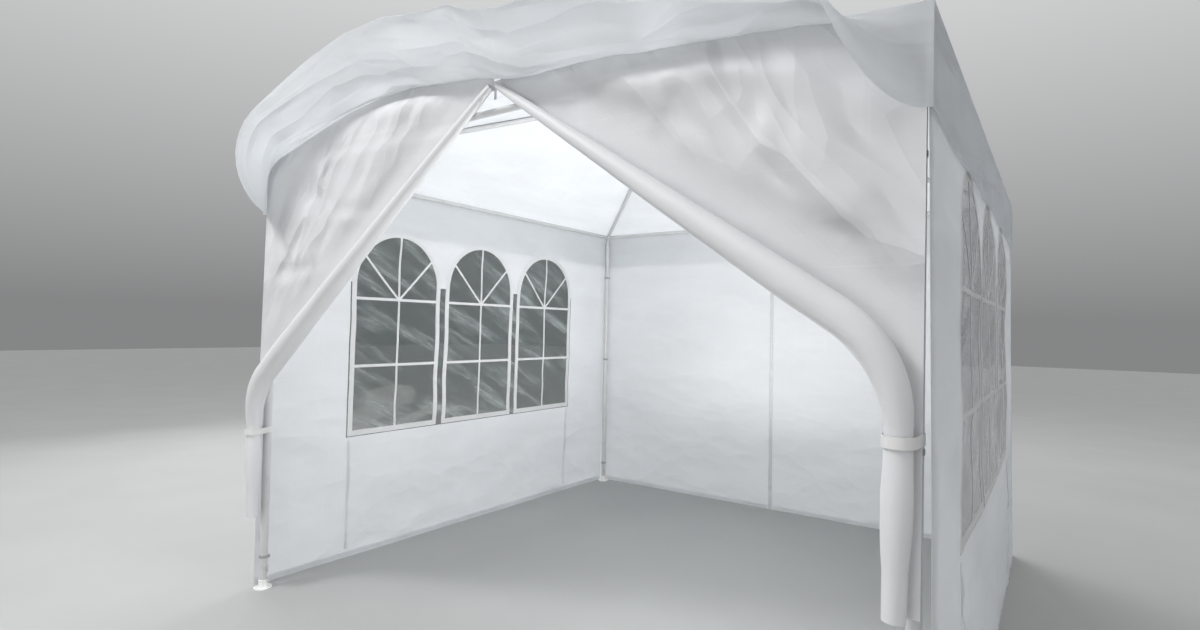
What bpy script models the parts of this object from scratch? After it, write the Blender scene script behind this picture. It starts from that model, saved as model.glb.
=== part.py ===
"""Square party tent with a steel tube frame, a pyramid roof, four hanging walls and a door rolled open.

Metres, +Z up. The door side faces -Y. The origin lies on the floor under the middle of the whole part.
"""

import math

import bpy
from mathutils import Vector

# Frame outline: legs stand on a square, measured between tube axes
LEG_SPACING = 2.92
EAVE_HEIGHT = 2.09
ROOF_RISE = 0.53

# General clearances
TOUCH_GAP = 0.0003
RUN_CLEARANCE = 0.005

# Leg tubes
LEG_TUBE_RADIUS = 0.019
LEG_TUBE_WALL = 0.0016
LEG_TOP_BELOW_RAIL = 0.055
TONGUE_END_HEIGHT = 0.102
TONGUE_LENGTH = 0.013
GROOVE_ABOVE_STEP = 0.005
GROOVE_WIDTH = 0.004
GROOVE_DEPTH = 0.0010
SWAGE_DEPTH = 0.0006
FOOT_TUBE_WALL = 0.0012
FOOT_TUBE_LENGTH = 0.36
ADJUST_HOLE_RADIUS = 0.0033
ADJUST_HOLE_PITCH = 0.025
ADJUST_HOLE_COUNT = 7
CLIP_HOLE_BELOW_TONGUE = 0.026
HOLES_BELOW_CLIP = 1

# Foot
FOOT_DISC_RADIUS = 0.0415
FOOT_DISC_THICKNESS = 0.004
FOOT_RIM_HEIGHT = 0.0022
FOOT_RIM_WIDTH = 0.003
FOOT_STEP_WIDTH = 0.008
FOOT_STEP_HEIGHT = 0.0016
SOCKET_HEIGHT = 0.042
SOCKET_WALL = 0.0027
SOCKET_LIP = 0.0014
SOCKET_LIP_HEIGHT = 0.004
GUSSET_THICKNESS = 0.003
GUSSET_HEIGHT = 0.019
GUSSET_EDGE_INSET = 0.006
GUSSET_TOE_HEIGHT = 0.002
PEG_HOLE_RADIUS = 0.0042
PEG_HOLE_SQUARE = 0.0078
PEG_HOLE_FROM_AXIS = 0.0305

# Wire clip
WIRE_RADIUS = 0.00125
CLIP_HALF_WIDTH = 0.0095
CLIP_HOOK_ABOVE_TONGUE = 0.004
CLIP_HOOK_SPREAD = 0.004
CLIP_BEND_HEIGHT = 0.003
CLIP_TIP_WIDTH = 0.0016

# Rails, rafters and the pieces that join them
RAIL_RADIUS = 0.0125
RAIL_WALL = 0.0012
JOINT_GROOVE_WIDTH = 0.003
JOINT_GROOVE_DEPTH = 0.0004
CORNER_ARM = 0.055
SPIGOT_LENGTH = 0.05
LEG_SPIGOT_LENGTH = 0.07
FLANGE_THICKNESS = 0.004
HUB_ARM = 0.06
HUB_RADIUS = 0.019
HUB_DROP = 0.045
HUB_TOP = 0.0058
HUB_CAP_RADIUS = 0.008
HUB_CAP_HEIGHT = 0.0042

# Cloth, modelled thicker than the real sheeting
WALL_THICKNESS = 0.004
ROOF_THICKNESS = 0.004
VALANCE_THICKNESS = 0.004
FILM_THICKNESS = 0.002
WALL_BOTTOM_HEIGHT = 0.010
WALL_HEM_DROP = 0.030
WALL_KNEE_DROP = 0.042
WALL_TOP_RISE = 0.004
WALL_PAST_FOOT = 0.002
VALANCE_STAND_OFF = 0.032
VALANCE_DROP = 0.25
DOOR_VALANCE_LIFT = math.radians(118)
DOOR_VALANCE_BEND = 0.030
DOOR_VALANCE_TAPER = 0.32
DOOR_EAVE_LIFT = 0.10

# Windows of the side walls, one clear film behind three arched lights
WINDOW_WIDTH = 0.617
WINDOW_STRIP = 0.056
WINDOW_COUNT = 3
WINDOW_SILL_HEIGHT = 0.675
WINDOW_SPRING_HEIGHT = 1.54
WINDOW_MARGIN = 0.010
FILM_OVERLAP = 0.020
ARCH_STEPS = 14

# Zip of the rear wall
ZIP_WIDTH = 0.026

# Door flaps, rolled up along a slant and tied to the front legs
ROLL_TOP_CLEARANCE = 0.004
DOOR_MIDDLE = 0.08
ROLL_START_FROM_MIDDLE = 0.016
ROLL_TIE_HEIGHT_LEFT = 0.78
ROLL_TIE_HEIGHT_RIGHT = 1.07
ROLL_TOP_RADIUS = 0.012
ROLL_FULL_RADIUS = 0.052
ROLL_TIED_RADIUS = 0.036
ROLL_TAIL_RADIUS = 0.030
ROLL_TAIL_LENGTH = 0.38
ROLL_INSET = 0.022
ROLL_BEND = 0.17
TIE_WIDTH = 0.028
TIE_THICKNESS = 0.002

ROUND_SIDES = 24
SMALL_SIDES = 12
ROLL_SIDES = 14

# Values that follow from the ones above
HALF = LEG_SPACING / 2
PITCH = math.atan2(ROOF_RISE, HALF)
SLOPE = ROOF_RISE / HALF
FOOT_TUBE_RADIUS = LEG_TUBE_RADIUS - LEG_TUBE_WALL - TOUCH_GAP
SOCKET_BORE = FOOT_TUBE_RADIUS + TOUCH_GAP
SOCKET_RADIUS = SOCKET_BORE + SOCKET_WALL
RAIL_BORE = RAIL_RADIUS - RAIL_WALL
SPIGOT_RADIUS = RAIL_BORE - TOUCH_GAP
LEG_TOP = EAVE_HEIGHT - LEG_TOP_BELOW_RAIL
ROOF_OVER_RAIL = (RAIL_RADIUS + TOUCH_GAP) / math.cos(PITCH)
HUB_HEIGHT = EAVE_HEIGHT + ROOF_RISE
WALL_TOP_FACE = HALF + RAIL_RADIUS + TOUCH_GAP
WALL_KNEE_FACE = HALF + LEG_TUBE_RADIUS + TOUCH_GAP
WALL_FOOT_FACE = HALF + FOOT_DISC_RADIUS + RUN_CLEARANCE + WALL_PAST_FOOT
KNEE_HEIGHT = EAVE_HEIGHT - WALL_KNEE_DROP
WALL_LEAN = (WALL_FOOT_FACE - WALL_KNEE_FACE) / (KNEE_HEIGHT - WALL_BOTTOM_HEIGHT)
VALANCE_FACE = HALF + VALANCE_STAND_OFF
EAVE_FACE = VALANCE_FACE + VALANCE_THICKNESS
BACK_REACH = WALL_FOOT_FACE + WALL_THICKNESS
FOLD_DEPTH = DOOR_VALANCE_BEND / DOOR_VALANCE_LIFT + VALANCE_THICKNESS / 2
ROLL_TOP = EAVE_HEIGHT + DOOR_EAVE_LIFT - FOLD_DEPTH - ROLL_TOP_RADIUS - ROLL_TOP_CLEARANCE

SIDES = {
    "front": (Vector((0, -1, 0)), Vector((1, 0, 0))),
    "back": (Vector((0, 1, 0)), Vector((-1, 0, 0))),
    "left": (Vector((-1, 0, 0)), Vector((0, -1, 0))),
    "right": (Vector((1, 0, 0)), Vector((0, 1, 0))),
}
CORNERS = {
    "front_left": (-1, -1),
    "front_right": (1, -1),
    "back_left": (-1, 1),
    "back_right": (1, 1),
}

FINISHES = {
    "steel": ((0.80, 0.81, 0.82, 1), 0.35, 0.6),
    "zinc": ((0.62, 0.63, 0.65, 1), 0.40, 0.9),
    "plastic": ((0.88, 0.88, 0.87, 1), 0.45, 0.0),
    "cloth": ((0.86, 0.87, 0.89, 1), 0.55, 0.0),
    "film": ((0.75, 0.80, 0.84, 1), 0.10, 0.0),
    "webbing": ((0.82, 0.82, 0.82, 1), 0.80, 0.0),
}


def clear_scene():
    """Removes whatever the start file holds."""
    for item in list(bpy.data.objects):
        bpy.data.objects.remove(item, do_unlink=True)


def finish_for(name, kind):
    """A material of the piece's own."""
    colour, roughness, metallic = FINISHES[kind]
    material = bpy.data.materials.new(name + "_finish")
    material.use_nodes = True
    shader = material.node_tree.nodes["Principled BSDF"]
    shader.inputs["Base Color"].default_value = colour
    shader.inputs["Roughness"].default_value = roughness
    shader.inputs["Metallic"].default_value = metallic
    material.diffuse_color = colour
    return material


def add_piece(name, points, faces, kind, smooth=False):
    """Adds one closed solid."""
    mesh = bpy.data.meshes.new(name)
    mesh.from_pydata([tuple(p) for p in points], [], faces)
    mesh.validate()
    piece = bpy.data.objects.new(name, mesh)
    bpy.context.scene.collection.objects.link(piece)
    if kind:
        mesh.materials.append(finish_for(name, kind))
    for face in mesh.polygons:
        face.use_smooth = smooth
    mark_outward(mesh)
    return piece


def mark_outward(mesh):
    """Turns the faces outward where the solid was wound inside out."""
    volume = 0.0
    for face in mesh.polygons:
        ring = [mesh.vertices[i].co for i in face.vertices]
        for k in range(1, len(ring) - 1):
            volume += ring[0].dot(ring[k].cross(ring[k + 1]))
    if volume < 0:
        mesh.flip_normals()


def across(direction):
    """Two unit vectors square to a direction."""
    axis = direction.normalized()
    helper = Vector((0, 0, 1)) if abs(axis.z) < 0.9 else Vector((0, 1, 0))
    first = helper.cross(axis).normalized()
    return first, axis.cross(first)


def turned(name, profile, start, direction, kind, sides=ROUND_SIDES, first=None):
    """Solid turned from (radius, distance) pairs; ends with radius 0 close on the axis, others form a tube."""
    axis = direction.normalized()
    u, v = across(axis)
    if first is not None:
        u = first.normalized()
        v = axis.cross(u)
    closed_tube = profile[0][0] > 0
    points, rings = [], []
    for radius, distance in profile:
        base = start + axis * distance
        if radius == 0:
            rings.append([len(points)])
            points.append(base)
            continue
        ring = []
        for k in range(sides):
            angle = 2 * math.pi * k / sides
            ring.append(len(points))
            points.append(base + (u * math.cos(angle) + v * math.sin(angle)) * radius)
        rings.append(ring)
    faces = []
    count = len(rings)
    for i in range(count if closed_tube else count - 1):
        a, b = rings[i], rings[(i + 1) % count]
        for k in range(sides):
            n = (k + 1) % sides
            if len(a) == 1:
                faces.append((a[0], b[n], b[k]))
            elif len(b) == 1:
                faces.append((a[k], a[n], b[0]))
            else:
                faces.append((a[k], a[n], b[n], b[k]))
    return add_piece(name, points, faces, kind, smooth=True)


def swept(name, path, radii, kind, sides):
    """Round solid that follows a path, with its own radius at each point."""
    tangents = []
    for i, point in enumerate(path):
        before, after = path[max(i - 1, 0)], path[min(i + 1, len(path) - 1)]
        tangents.append((after - before).normalized())
    u, _ = across(tangents[0])
    points, rings = [], []
    for point, tangent, radius in zip(path, tangents, radii):
        u = (u - tangent * u.dot(tangent)).normalized()
        v = tangent.cross(u)
        ring = []
        for k in range(sides):
            angle = 2 * math.pi * k / sides
            ring.append(len(points))
            points.append(point + (u * math.cos(angle) + v * math.sin(angle)) * radius)
        rings.append(ring)
    faces = []
    for a, b in zip(rings, rings[1:]):
        for k in range(sides):
            n = (k + 1) % sides
            faces.append((a[k], a[n], b[n], b[k]))
    faces.append(tuple(reversed(rings[0])))
    faces.append(tuple(rings[-1]))
    return add_piece(name, points, faces, kind, smooth=True)


def lofted(name, rings, kind):
    """Solid through a row of rings that each have the same number of points."""
    points = [p for ring in rings for p in ring]
    size = len(rings[0])
    faces = []
    for i in range(len(rings) - 1):
        for k in range(size):
            n = (k + 1) % size
            faces.append((i * size + k, i * size + n, (i + 1) * size + n, (i + 1) * size + k))
    faces.append(tuple(range(size - 1, -1, -1)))
    faces.append(tuple(range((len(rings) - 1) * size, len(rings) * size)))
    return add_piece(name, points, faces, kind)


def combine(piece, others, operation):
    """Joins others to a piece, or cuts them from it, and keeps the result as its mesh."""
    for other in others:
        step = piece.modifiers.new(operation.lower(), "BOOLEAN")
        step.operation = operation
        step.solver = "EXACT"
        step.object = other
    bpy.context.view_layer.update()
    shaped = bpy.data.meshes.new_from_object(
        piece.evaluated_get(bpy.context.evaluated_depsgraph_get())
    )
    finish = piece.data.materials[0]
    piece.modifiers.clear()
    piece.data = shaped
    piece.data.name = piece.name
    piece.data.materials.clear()
    piece.data.materials.append(finish)
    for face in piece.data.polygons:
        face.material_index = 0
    for other in others:
        bpy.data.objects.remove(other, do_unlink=True)
    return piece


def block(name, low, high):
    """Plain box used to cut or to join."""
    (x0, y0, z0), (x1, y1, z1) = low, high
    points = [
        (x0, y0, z0), (x1, y0, z0), (x1, y1, z0), (x0, y1, z0),
        (x0, y0, z1), (x1, y0, z1), (x1, y1, z1), (x0, y1, z1),
    ]
    faces = [(0, 3, 2, 1), (4, 5, 6, 7), (0, 1, 5, 4), (1, 2, 6, 5), (2, 3, 7, 6), (3, 0, 4, 7)]
    return add_piece(name, points, faces, None)


def turn_about(piece, point, angle):
    """Turns a piece's own vertices about a vertical line through a point."""
    c, s = math.cos(angle), math.sin(angle)
    for vertex in piece.data.vertices:
        x, y = vertex.co.x - point.x, vertex.co.y - point.y
        vertex.co.x, vertex.co.y = point.x + c * x - s * y, point.y + s * x + c * y
    return piece


def wall_face(height):
    """Distance of a wall's inner face from the tent's middle at a height."""
    if height >= EAVE_HEIGHT - WALL_HEM_DROP:
        return WALL_TOP_FACE
    if height >= KNEE_HEIGHT:
        part = (EAVE_HEIGHT - WALL_HEM_DROP - height) / (WALL_KNEE_DROP - WALL_HEM_DROP)
        return WALL_TOP_FACE + part * (WALL_KNEE_FACE - WALL_TOP_FACE)
    return WALL_KNEE_FACE + (KNEE_HEIGHT - height) * WALL_LEAN


def roof_under(distance):
    """Height of the roof's underside at a distance from the tent's middle."""
    return EAVE_HEIGHT + (HALF - distance) * SLOPE + ROOF_OVER_RAIL


def door_lift(distance, along):
    """How much the roof and the cloth over the door stand above the plain slope at a place."""
    share = min(1.0, abs(along) / max(distance, TOUCH_GAP))
    return DOOR_EAVE_LIFT * (distance / EAVE_FACE) ** 2 * (1 - share * share) ** 1.5


def door_shares():
    """Stations along the door side from -1 to 1, closer together where the valance turns up."""
    knee = 1 - DOOR_VALANCE_TAPER / VALANCE_FACE
    turn, flat = 12, 10
    half = [knee * k / flat for k in range(1, flat + 1)]
    half += [knee + (1 - knee) * k / turn for k in range(1, turn + 1)]
    return [-share for share in reversed(half)] + [0.0] + half


def door_turn(share):
    """Angle of the valance over the door at a station, none at the corners."""
    blend = min(1.0, (1 - abs(share)) * VALANCE_FACE / DOOR_VALANCE_TAPER)
    return DOOR_VALANCE_LIFT * blend * blend * (3 - 2 * blend)


def front_reach():
    """How far the lifted valance over the door reaches out from the tent's middle."""
    return max(p[0] for share in door_shares() for p in valance_section(door_turn(share)))


def valance_section(lift):
    """Closed section of a valance, as (distance, height) pairs, lifted outward by an angle."""
    middle = VALANCE_FACE + VALANCE_THICKNESS / 2
    steps = 10
    inner = [(VALANCE_FACE, roof_under(VALANCE_FACE) - TOUCH_GAP)]
    outer = [(EAVE_FACE, roof_under(EAVE_FACE) - TOUCH_GAP)]
    distance, height, done = middle, roof_under(middle), 0.0
    total = VALANCE_DROP + ROOF_OVER_RAIL - VALANCE_STAND_OFF * SLOPE
    for step in range(steps):
        length = DOOR_VALANCE_BEND / 6 if step < 6 else (total - DOOR_VALANCE_BEND) / (steps - 6)
        angle = lift * min(1.0, (done + length / 2) / DOOR_VALANCE_BEND)
        distance += length * math.sin(angle)
        height -= length * math.cos(angle)
        done += length
        end = lift * min(1.0, done / DOOR_VALANCE_BEND)
        half_x = VALANCE_THICKNESS / 2 * math.cos(end)
        half_z = VALANCE_THICKNESS / 2 * math.sin(end)
        inner.append((distance - half_x, height - half_z))
        outer.append((distance + half_x, height + half_z))
    return inner + outer[::-1]


MIDDLE = Vector((0, (front_reach() - BACK_REACH) / 2, 0))


def at(side, distance, along, height):
    """World point on a side: outward distance, place along the side, height."""
    outward, lateral = SIDES[side]
    return MIDDLE + outward * distance + lateral * along + Vector((0, 0, height))


def corner_point(corner, height):
    """World point on a leg's axis."""
    x, y = CORNERS[corner]
    return MIDDLE + Vector((x * HALF, y * HALF, height))


def inward(corner):
    """Level unit vector from a corner to the tent's middle."""
    x, y = CORNERS[corner]
    return Vector((-x, -y, 0)).normalized()


def tube_profile(radius, wall, low, high, grooves=()):
    """Profile of a tube with shallow grooves, each (middle, width, depth)."""
    outer = [(radius, low)]
    for middle, width, depth in sorted(grooves):
        outer += [
            (radius, middle - width / 2), (radius - depth, middle - width / 4),
            (radius - depth, middle + width / 4), (radius, middle + width / 2),
        ]
    outer.append((radius, high))
    return outer + [(radius - wall, high), (radius - wall, low)]


def build_upper_leg(corner):
    """Upper leg tube, with a crimp groove, a narrowed end below it and a tongue."""
    base = corner_point(corner, 0)
    step_height = TONGUE_END_HEIGHT + TONGUE_LENGTH
    groove = step_height + GROOVE_ABOVE_STEP
    end = LEG_TUBE_RADIUS - SWAGE_DEPTH
    bottom = LEG_TUBE_RADIUS - GROOVE_DEPTH
    profile = [
        (end, TONGUE_END_HEIGHT), (end, groove - GROOVE_WIDTH / 2), (bottom, groove - GROOVE_WIDTH / 4),
        (bottom, groove + GROOVE_WIDTH / 4), (LEG_TUBE_RADIUS, groove + GROOVE_WIDTH / 2),
        (LEG_TUBE_RADIUS, LEG_TOP), (LEG_TUBE_RADIUS - LEG_TUBE_WALL, LEG_TOP),
        (LEG_TUBE_RADIUS - LEG_TUBE_WALL, TONGUE_END_HEIGHT),
    ]
    leg = turned("leg_upper_" + corner, profile, base, Vector((0, 0, 1)), "steel", first=inward(corner))
    reach = 2 * LEG_TUBE_RADIUS
    cutter = block(
        "step", base + Vector((-reach, -reach, TONGUE_END_HEIGHT - reach)),
        base + Vector((LEG_TUBE_RADIUS * 0.15, reach, step_height)),
    )
    direction = inward(corner)
    turn_about(cutter, base, math.atan2(direction.y, direction.x))
    return combine(leg, [cutter], "DIFFERENCE")


def build_lower_leg(corner):
    """Lower leg tube, with a row of adjusting holes on the side that faces into the tent."""
    base = corner_point(corner, 0)
    low = FOOT_DISC_THICKNESS + TOUCH_GAP
    tube = turned(
        "leg_lower_" + corner,
        tube_profile(FOOT_TUBE_RADIUS, FOOT_TUBE_WALL, low, low + FOOT_TUBE_LENGTH),
        base, Vector((0, 0, 1)), "steel", first=inward(corner),
    )
    cutters = []
    for k in range(ADJUST_HOLE_COUNT):
        height = TONGUE_END_HEIGHT - CLIP_HOLE_BELOW_TONGUE + (k - HOLES_BELOW_CLIP) * ADJUST_HOLE_PITCH
        start = base + Vector((0, 0, height))
        profile = [
            (0, FOOT_TUBE_RADIUS / 2), (ADJUST_HOLE_RADIUS, FOOT_TUBE_RADIUS / 2),
            (ADJUST_HOLE_RADIUS, FOOT_TUBE_RADIUS * 2), (0, FOOT_TUBE_RADIUS * 2),
        ]
        cutters.append(turned("hole", profile, start, inward(corner), None, SMALL_SIDES))
    return combine(tube, cutters, "DIFFERENCE")


def build_foot(corner):
    """Foot: a socket on a round plate, with four gussets and two peg holes."""
    base = corner_point(corner, 0)
    plate = FOOT_DISC_THICKNESS
    step_edge = FOOT_DISC_RADIUS - FOOT_RIM_WIDTH - FOOT_STEP_WIDTH
    profile = [
        (0, 0), (FOOT_DISC_RADIUS, 0), (FOOT_DISC_RADIUS, plate + FOOT_RIM_HEIGHT),
        (FOOT_DISC_RADIUS - FOOT_RIM_WIDTH, plate + FOOT_RIM_HEIGHT),
        (FOOT_DISC_RADIUS - FOOT_RIM_WIDTH, plate), (step_edge, plate),
        (step_edge, plate + FOOT_STEP_HEIGHT), (SOCKET_RADIUS, plate + FOOT_STEP_HEIGHT),
        (SOCKET_RADIUS, SOCKET_HEIGHT - SOCKET_LIP_HEIGHT),
        (SOCKET_RADIUS + SOCKET_LIP, SOCKET_HEIGHT - SOCKET_LIP_HEIGHT * 0.7),
        (SOCKET_RADIUS + SOCKET_LIP, SOCKET_HEIGHT - SOCKET_LIP_HEIGHT * 0.25),
        (SOCKET_RADIUS, SOCKET_HEIGHT), (SOCKET_BORE, SOCKET_HEIGHT),
        (SOCKET_BORE, plate), (0, plate),
    ]
    foot = turned("foot_" + corner, profile, base, Vector((0, 0, 1)), "plastic", first=inward(corner))
    heading = math.atan2(inward(corner).y, inward(corner).x)
    gussets = [build_gusset(base, heading + math.pi / 4 + k * math.pi / 2) for k in range(4)]
    combine(foot, gussets, "UNION")
    round_hole = turned(
        "peg", [(0, -0.01), (PEG_HOLE_RADIUS, -0.01), (PEG_HOLE_RADIUS, 0.02), (0, 0.02)],
        base + inward(corner) * PEG_HOLE_FROM_AXIS, Vector((0, 0, 1)), None, SMALL_SIDES,
    )
    half = PEG_HOLE_SQUARE / 2
    square_hole = block(
        "square", base + Vector((PEG_HOLE_FROM_AXIS - half, -half, -0.01)),
        base + Vector((PEG_HOLE_FROM_AXIS + half, half, 0.02)),
    )
    turn_about(square_hole, base, heading + math.pi / 2)
    return combine(foot, [round_hole, square_hole], "DIFFERENCE")


def build_gusset(base, heading):
    """Triangular rib between the foot's socket and its plate."""
    half = GUSSET_THICKNESS / 2
    inner = (SOCKET_BORE + SOCKET_RADIUS) / 2
    outer = FOOT_DISC_RADIUS - GUSSET_EDGE_INSET
    low, high = FOOT_DISC_THICKNESS / 2, FOOT_DISC_THICKNESS + GUSSET_HEIGHT
    corners = [
        (inner, low), (outer, low), (outer, FOOT_DISC_THICKNESS + GUSSET_TOE_HEIGHT),
        (SOCKET_RADIUS, high), (inner, high),
    ]
    points = [base + Vector((r, -half, z)) for r, z in corners]
    points += [base + Vector((r, half, z)) for r, z in corners]
    count = len(corners)
    faces = [tuple(range(count)), tuple(range(2 * count - 1, count - 1, -1))]
    for k in range(count):
        n = (k + 1) % count
        faces.append((k, k + count, n + count, n))
    return turn_about(add_piece("gusset", points, faces, None), base, heading)


def build_clip(corner):
    """Spring wire clip: two arms hooked on the upper tube, and a tip at an adjusting hole."""
    base = corner_point(corner, 0)
    front = inward(corner)
    side = Vector((0, 0, 1)).cross(front)
    clear = LEG_TUBE_RADIUS - SWAGE_DEPTH + TOUCH_GAP + WIRE_RADIUS
    hook_height = TONGUE_END_HEIGHT + CLIP_HOOK_ABOVE_TONGUE
    tip_height = TONGUE_END_HEIGHT - CLIP_HOLE_BELOW_TONGUE
    hook_angle = math.asin(min(0.99, (CLIP_HALF_WIDTH + CLIP_HOOK_SPREAD) / clear))
    path = []
    for sign in (-1, 1):
        arm = []
        for k in range(4):
            angle = hook_angle * (1 + 0.35 * (3 - k) / 3)
            arm.append(
                base + front * (clear * math.cos(angle)) + side * (sign * clear * math.sin(angle))
                + Vector((0, 0, hook_height))
            )
        for reach, height in (
            (CLIP_HALF_WIDTH, hook_height - CLIP_BEND_HEIGHT), (CLIP_TIP_WIDTH * 1.6, tip_height + CLIP_BEND_HEIGHT),
        ):
            arm.append(base + front * clear + side * (sign * reach) + Vector((0, 0, height)))
        tip = FOOT_TUBE_RADIUS + TOUCH_GAP + WIRE_RADIUS
        arm.append(base + front * tip + side * (sign * CLIP_TIP_WIDTH) + Vector((0, 0, tip_height)))
        path += arm if sign < 0 else arm[::-1]
    return swept("clip_" + corner, path, [WIRE_RADIUS] * len(path), "zinc", 8)


def hip_direction(corner):
    """Unit vector along a rafter, from the corner up to the peak."""
    return (MIDDLE + Vector((0, 0, HUB_HEIGHT)) - corner_point(corner, EAVE_HEIGHT)).normalized()


def arm_profile(arm, start):
    """Arm of a joining piece: a full round length, then the spigot inside the next tube."""
    return [
        (0, start), (RAIL_RADIUS, start), (RAIL_RADIUS, arm), (SPIGOT_RADIUS, arm),
        (SPIGOT_RADIUS, arm + SPIGOT_LENGTH), (0, arm + SPIGOT_LENGTH),
    ]


def build_corner(corner):
    """Corner joint: two rail arms, a rafter arm, and a spigot with a flange on the leg."""
    node = corner_point(corner, EAVE_HEIGHT)
    x, y = CORNERS[corner]
    spigot = LEG_TUBE_RADIUS - LEG_TUBE_WALL - TOUCH_GAP
    low, seat = LEG_TOP - LEG_SPIGOT_LENGTH, LEG_TOP + TOUCH_GAP
    stem = turned(
        "corner_joint_" + corner,
        [
            (0, low), (spigot, low), (spigot, seat), (LEG_TUBE_RADIUS, seat),
            (LEG_TUBE_RADIUS, seat + FLANGE_THICKNESS), (RAIL_RADIUS * 0.96, seat + FLANGE_THICKNESS),
            (RAIL_RADIUS * 0.96, EAVE_HEIGHT), (0, EAVE_HEIGHT),
        ],
        corner_point(corner, 0), Vector((0, 0, 1)), "steel",
    )
    arms = [
        turned("arm", arm_profile(CORNER_ARM, 0.15 * RAIL_RADIUS), node, Vector((-x, 0, 0)), None),
        turned("arm", arm_profile(CORNER_ARM, 0.20 * RAIL_RADIUS), node, Vector((0, -y, 0)), None),
        turned("arm", arm_profile(CORNER_ARM, 0.25 * RAIL_RADIUS), node, hip_direction(corner), None),
        ball("ball", node, RAIL_RADIUS * 0.985),
    ]
    return combine(stem, arms, "UNION")


def ball(name, centre, radius):
    """Round knuckle."""
    rows = 9
    profile = [(0, -radius)]
    for k in range(1, rows):
        angle = math.pi * k / rows - math.pi / 2
        profile.append((radius * math.cos(angle), radius * math.sin(angle)))
    profile.append((0, radius))
    return turned(name, profile, centre, Vector((0, 0, 1)), None)


def build_hub():
    """Peak joint: a short post with four rafter arms."""
    peak = MIDDLE + Vector((0, 0, HUB_HEIGHT))
    hub = turned(
        "peak_hub",
        [
            (0, -HUB_DROP), (HUB_RADIUS, -HUB_DROP), (HUB_RADIUS, HUB_TOP),
            (HUB_CAP_RADIUS, HUB_TOP + HUB_CAP_HEIGHT), (0, HUB_TOP + HUB_CAP_HEIGHT),
        ],
        peak, Vector((0, 0, 1)), "steel", first=Vector((1, 0.07, 0)),
    )
    for k, corner in enumerate(CORNERS):
        profile = arm_profile(HUB_ARM, RAIL_RADIUS * (0.55 + 0.06 * k))
        combine(hub, [turned("arm", profile, peak, -hip_direction(corner), None)], "UNION")
    return hub


def build_rail(side):
    """Eave rail between two corner joints, with the joint line of its two lengths."""
    half = HALF - CORNER_ARM - TOUCH_GAP
    profile = tube_profile(
        RAIL_RADIUS, RAIL_WALL, -half, half, [(0.0, JOINT_GROOVE_WIDTH, JOINT_GROOVE_DEPTH)]
    )
    return turned("eave_rail_" + side, profile, at(side, HALF, 0, EAVE_HEIGHT), SIDES[side][1], "steel")


def build_rafter(corner):
    """Hip rafter from a corner joint to the peak hub."""
    start = corner_point(corner, EAVE_HEIGHT)
    length = (MIDDLE + Vector((0, 0, HUB_HEIGHT)) - start).length
    low, high = CORNER_ARM + TOUCH_GAP, length - HUB_ARM - TOUCH_GAP
    groove = ((low + high) / 2, JOINT_GROOVE_WIDTH, JOINT_GROOVE_DEPTH)
    return turned(
        "hip_rafter_" + corner, tube_profile(RAIL_RADIUS, RAIL_WALL, low, high, [groove]),
        start, hip_direction(corner), "steel",
    )


def build_roof_panel(side):
    """One of the roof's four slopes."""
    thickness = ROOF_THICKNESS / math.cos(PITCH)
    edge = EAVE_FACE - TOUCH_GAP
    rings = []
    for lift in (0, thickness):
        rings.append([
            at(side, TOUCH_GAP, 0, roof_under(TOUCH_GAP) + lift),
            at(side, EAVE_FACE, edge, roof_under(EAVE_FACE) + lift),
            at(side, EAVE_FACE, -edge, roof_under(EAVE_FACE) + lift),
        ])
    return lofted("roof_" + side, rings, "cloth")


def build_door_slope():
    """The roof's slope over the door, lifted between its two corners."""
    thickness = ROOF_THICKNESS / math.cos(PITCH)
    shares = door_shares()
    rows = [EAVE_FACE * share for share in (0.22, 0.42, 0.60, 0.76, 0.89, 1.0)]
    points, under, over = [], [], []
    for layer, lift in ((under, 0), (over, thickness)):
        layer.append([len(points)] * len(shares))
        points.append(at("front", TOUCH_GAP, 0, roof_under(TOUCH_GAP) + lift))
        for distance in rows:
            row = []
            for share in shares:
                along = share * (distance - TOUCH_GAP)
                row.append(len(points))
                points.append(at("front", distance, along, roof_under(distance) + door_lift(distance, along) + lift))
            layer.append(row)
    faces = []
    for i in range(len(rows)):
        for k in range(len(shares) - 1):
            for layer in (under, over):
                a, b, c, d = layer[i][k], layer[i][k + 1], layer[i + 1][k + 1], layer[i + 1][k]
                for face in ((a, c, d), (a, b, c)):
                    if len(set(face)) == 3:
                        faces.append(face if layer is under else face[::-1])
    rim = [under[i][0] for i in range(len(rows) + 1)] + under[-1][1:]
    rim += [under[i][-1] for i in range(len(rows) - 1, 0, -1)]
    half = len(points) // 2
    for k, low in enumerate(rim):
        after = rim[(k + 1) % len(rim)]
        faces += [(low, after, after + half), (low, after + half, low + half)]
    return add_piece("roof_front", points, faces, "cloth")


def build_valance(side):
    """Straight strip that hangs from the roof's edge."""
    section = [
        (VALANCE_FACE, EAVE_HEIGHT - VALANCE_DROP), (EAVE_FACE, EAVE_HEIGHT - VALANCE_DROP),
        (EAVE_FACE, roof_under(EAVE_FACE) - TOUCH_GAP), (VALANCE_FACE, roof_under(VALANCE_FACE) - TOUCH_GAP),
    ]
    rings = [[at(side, m, sign * (m - TOUCH_GAP), z) for m, z in section] for sign in (-1, 1)]
    return lofted("valance_" + side, rings, "cloth")


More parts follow.
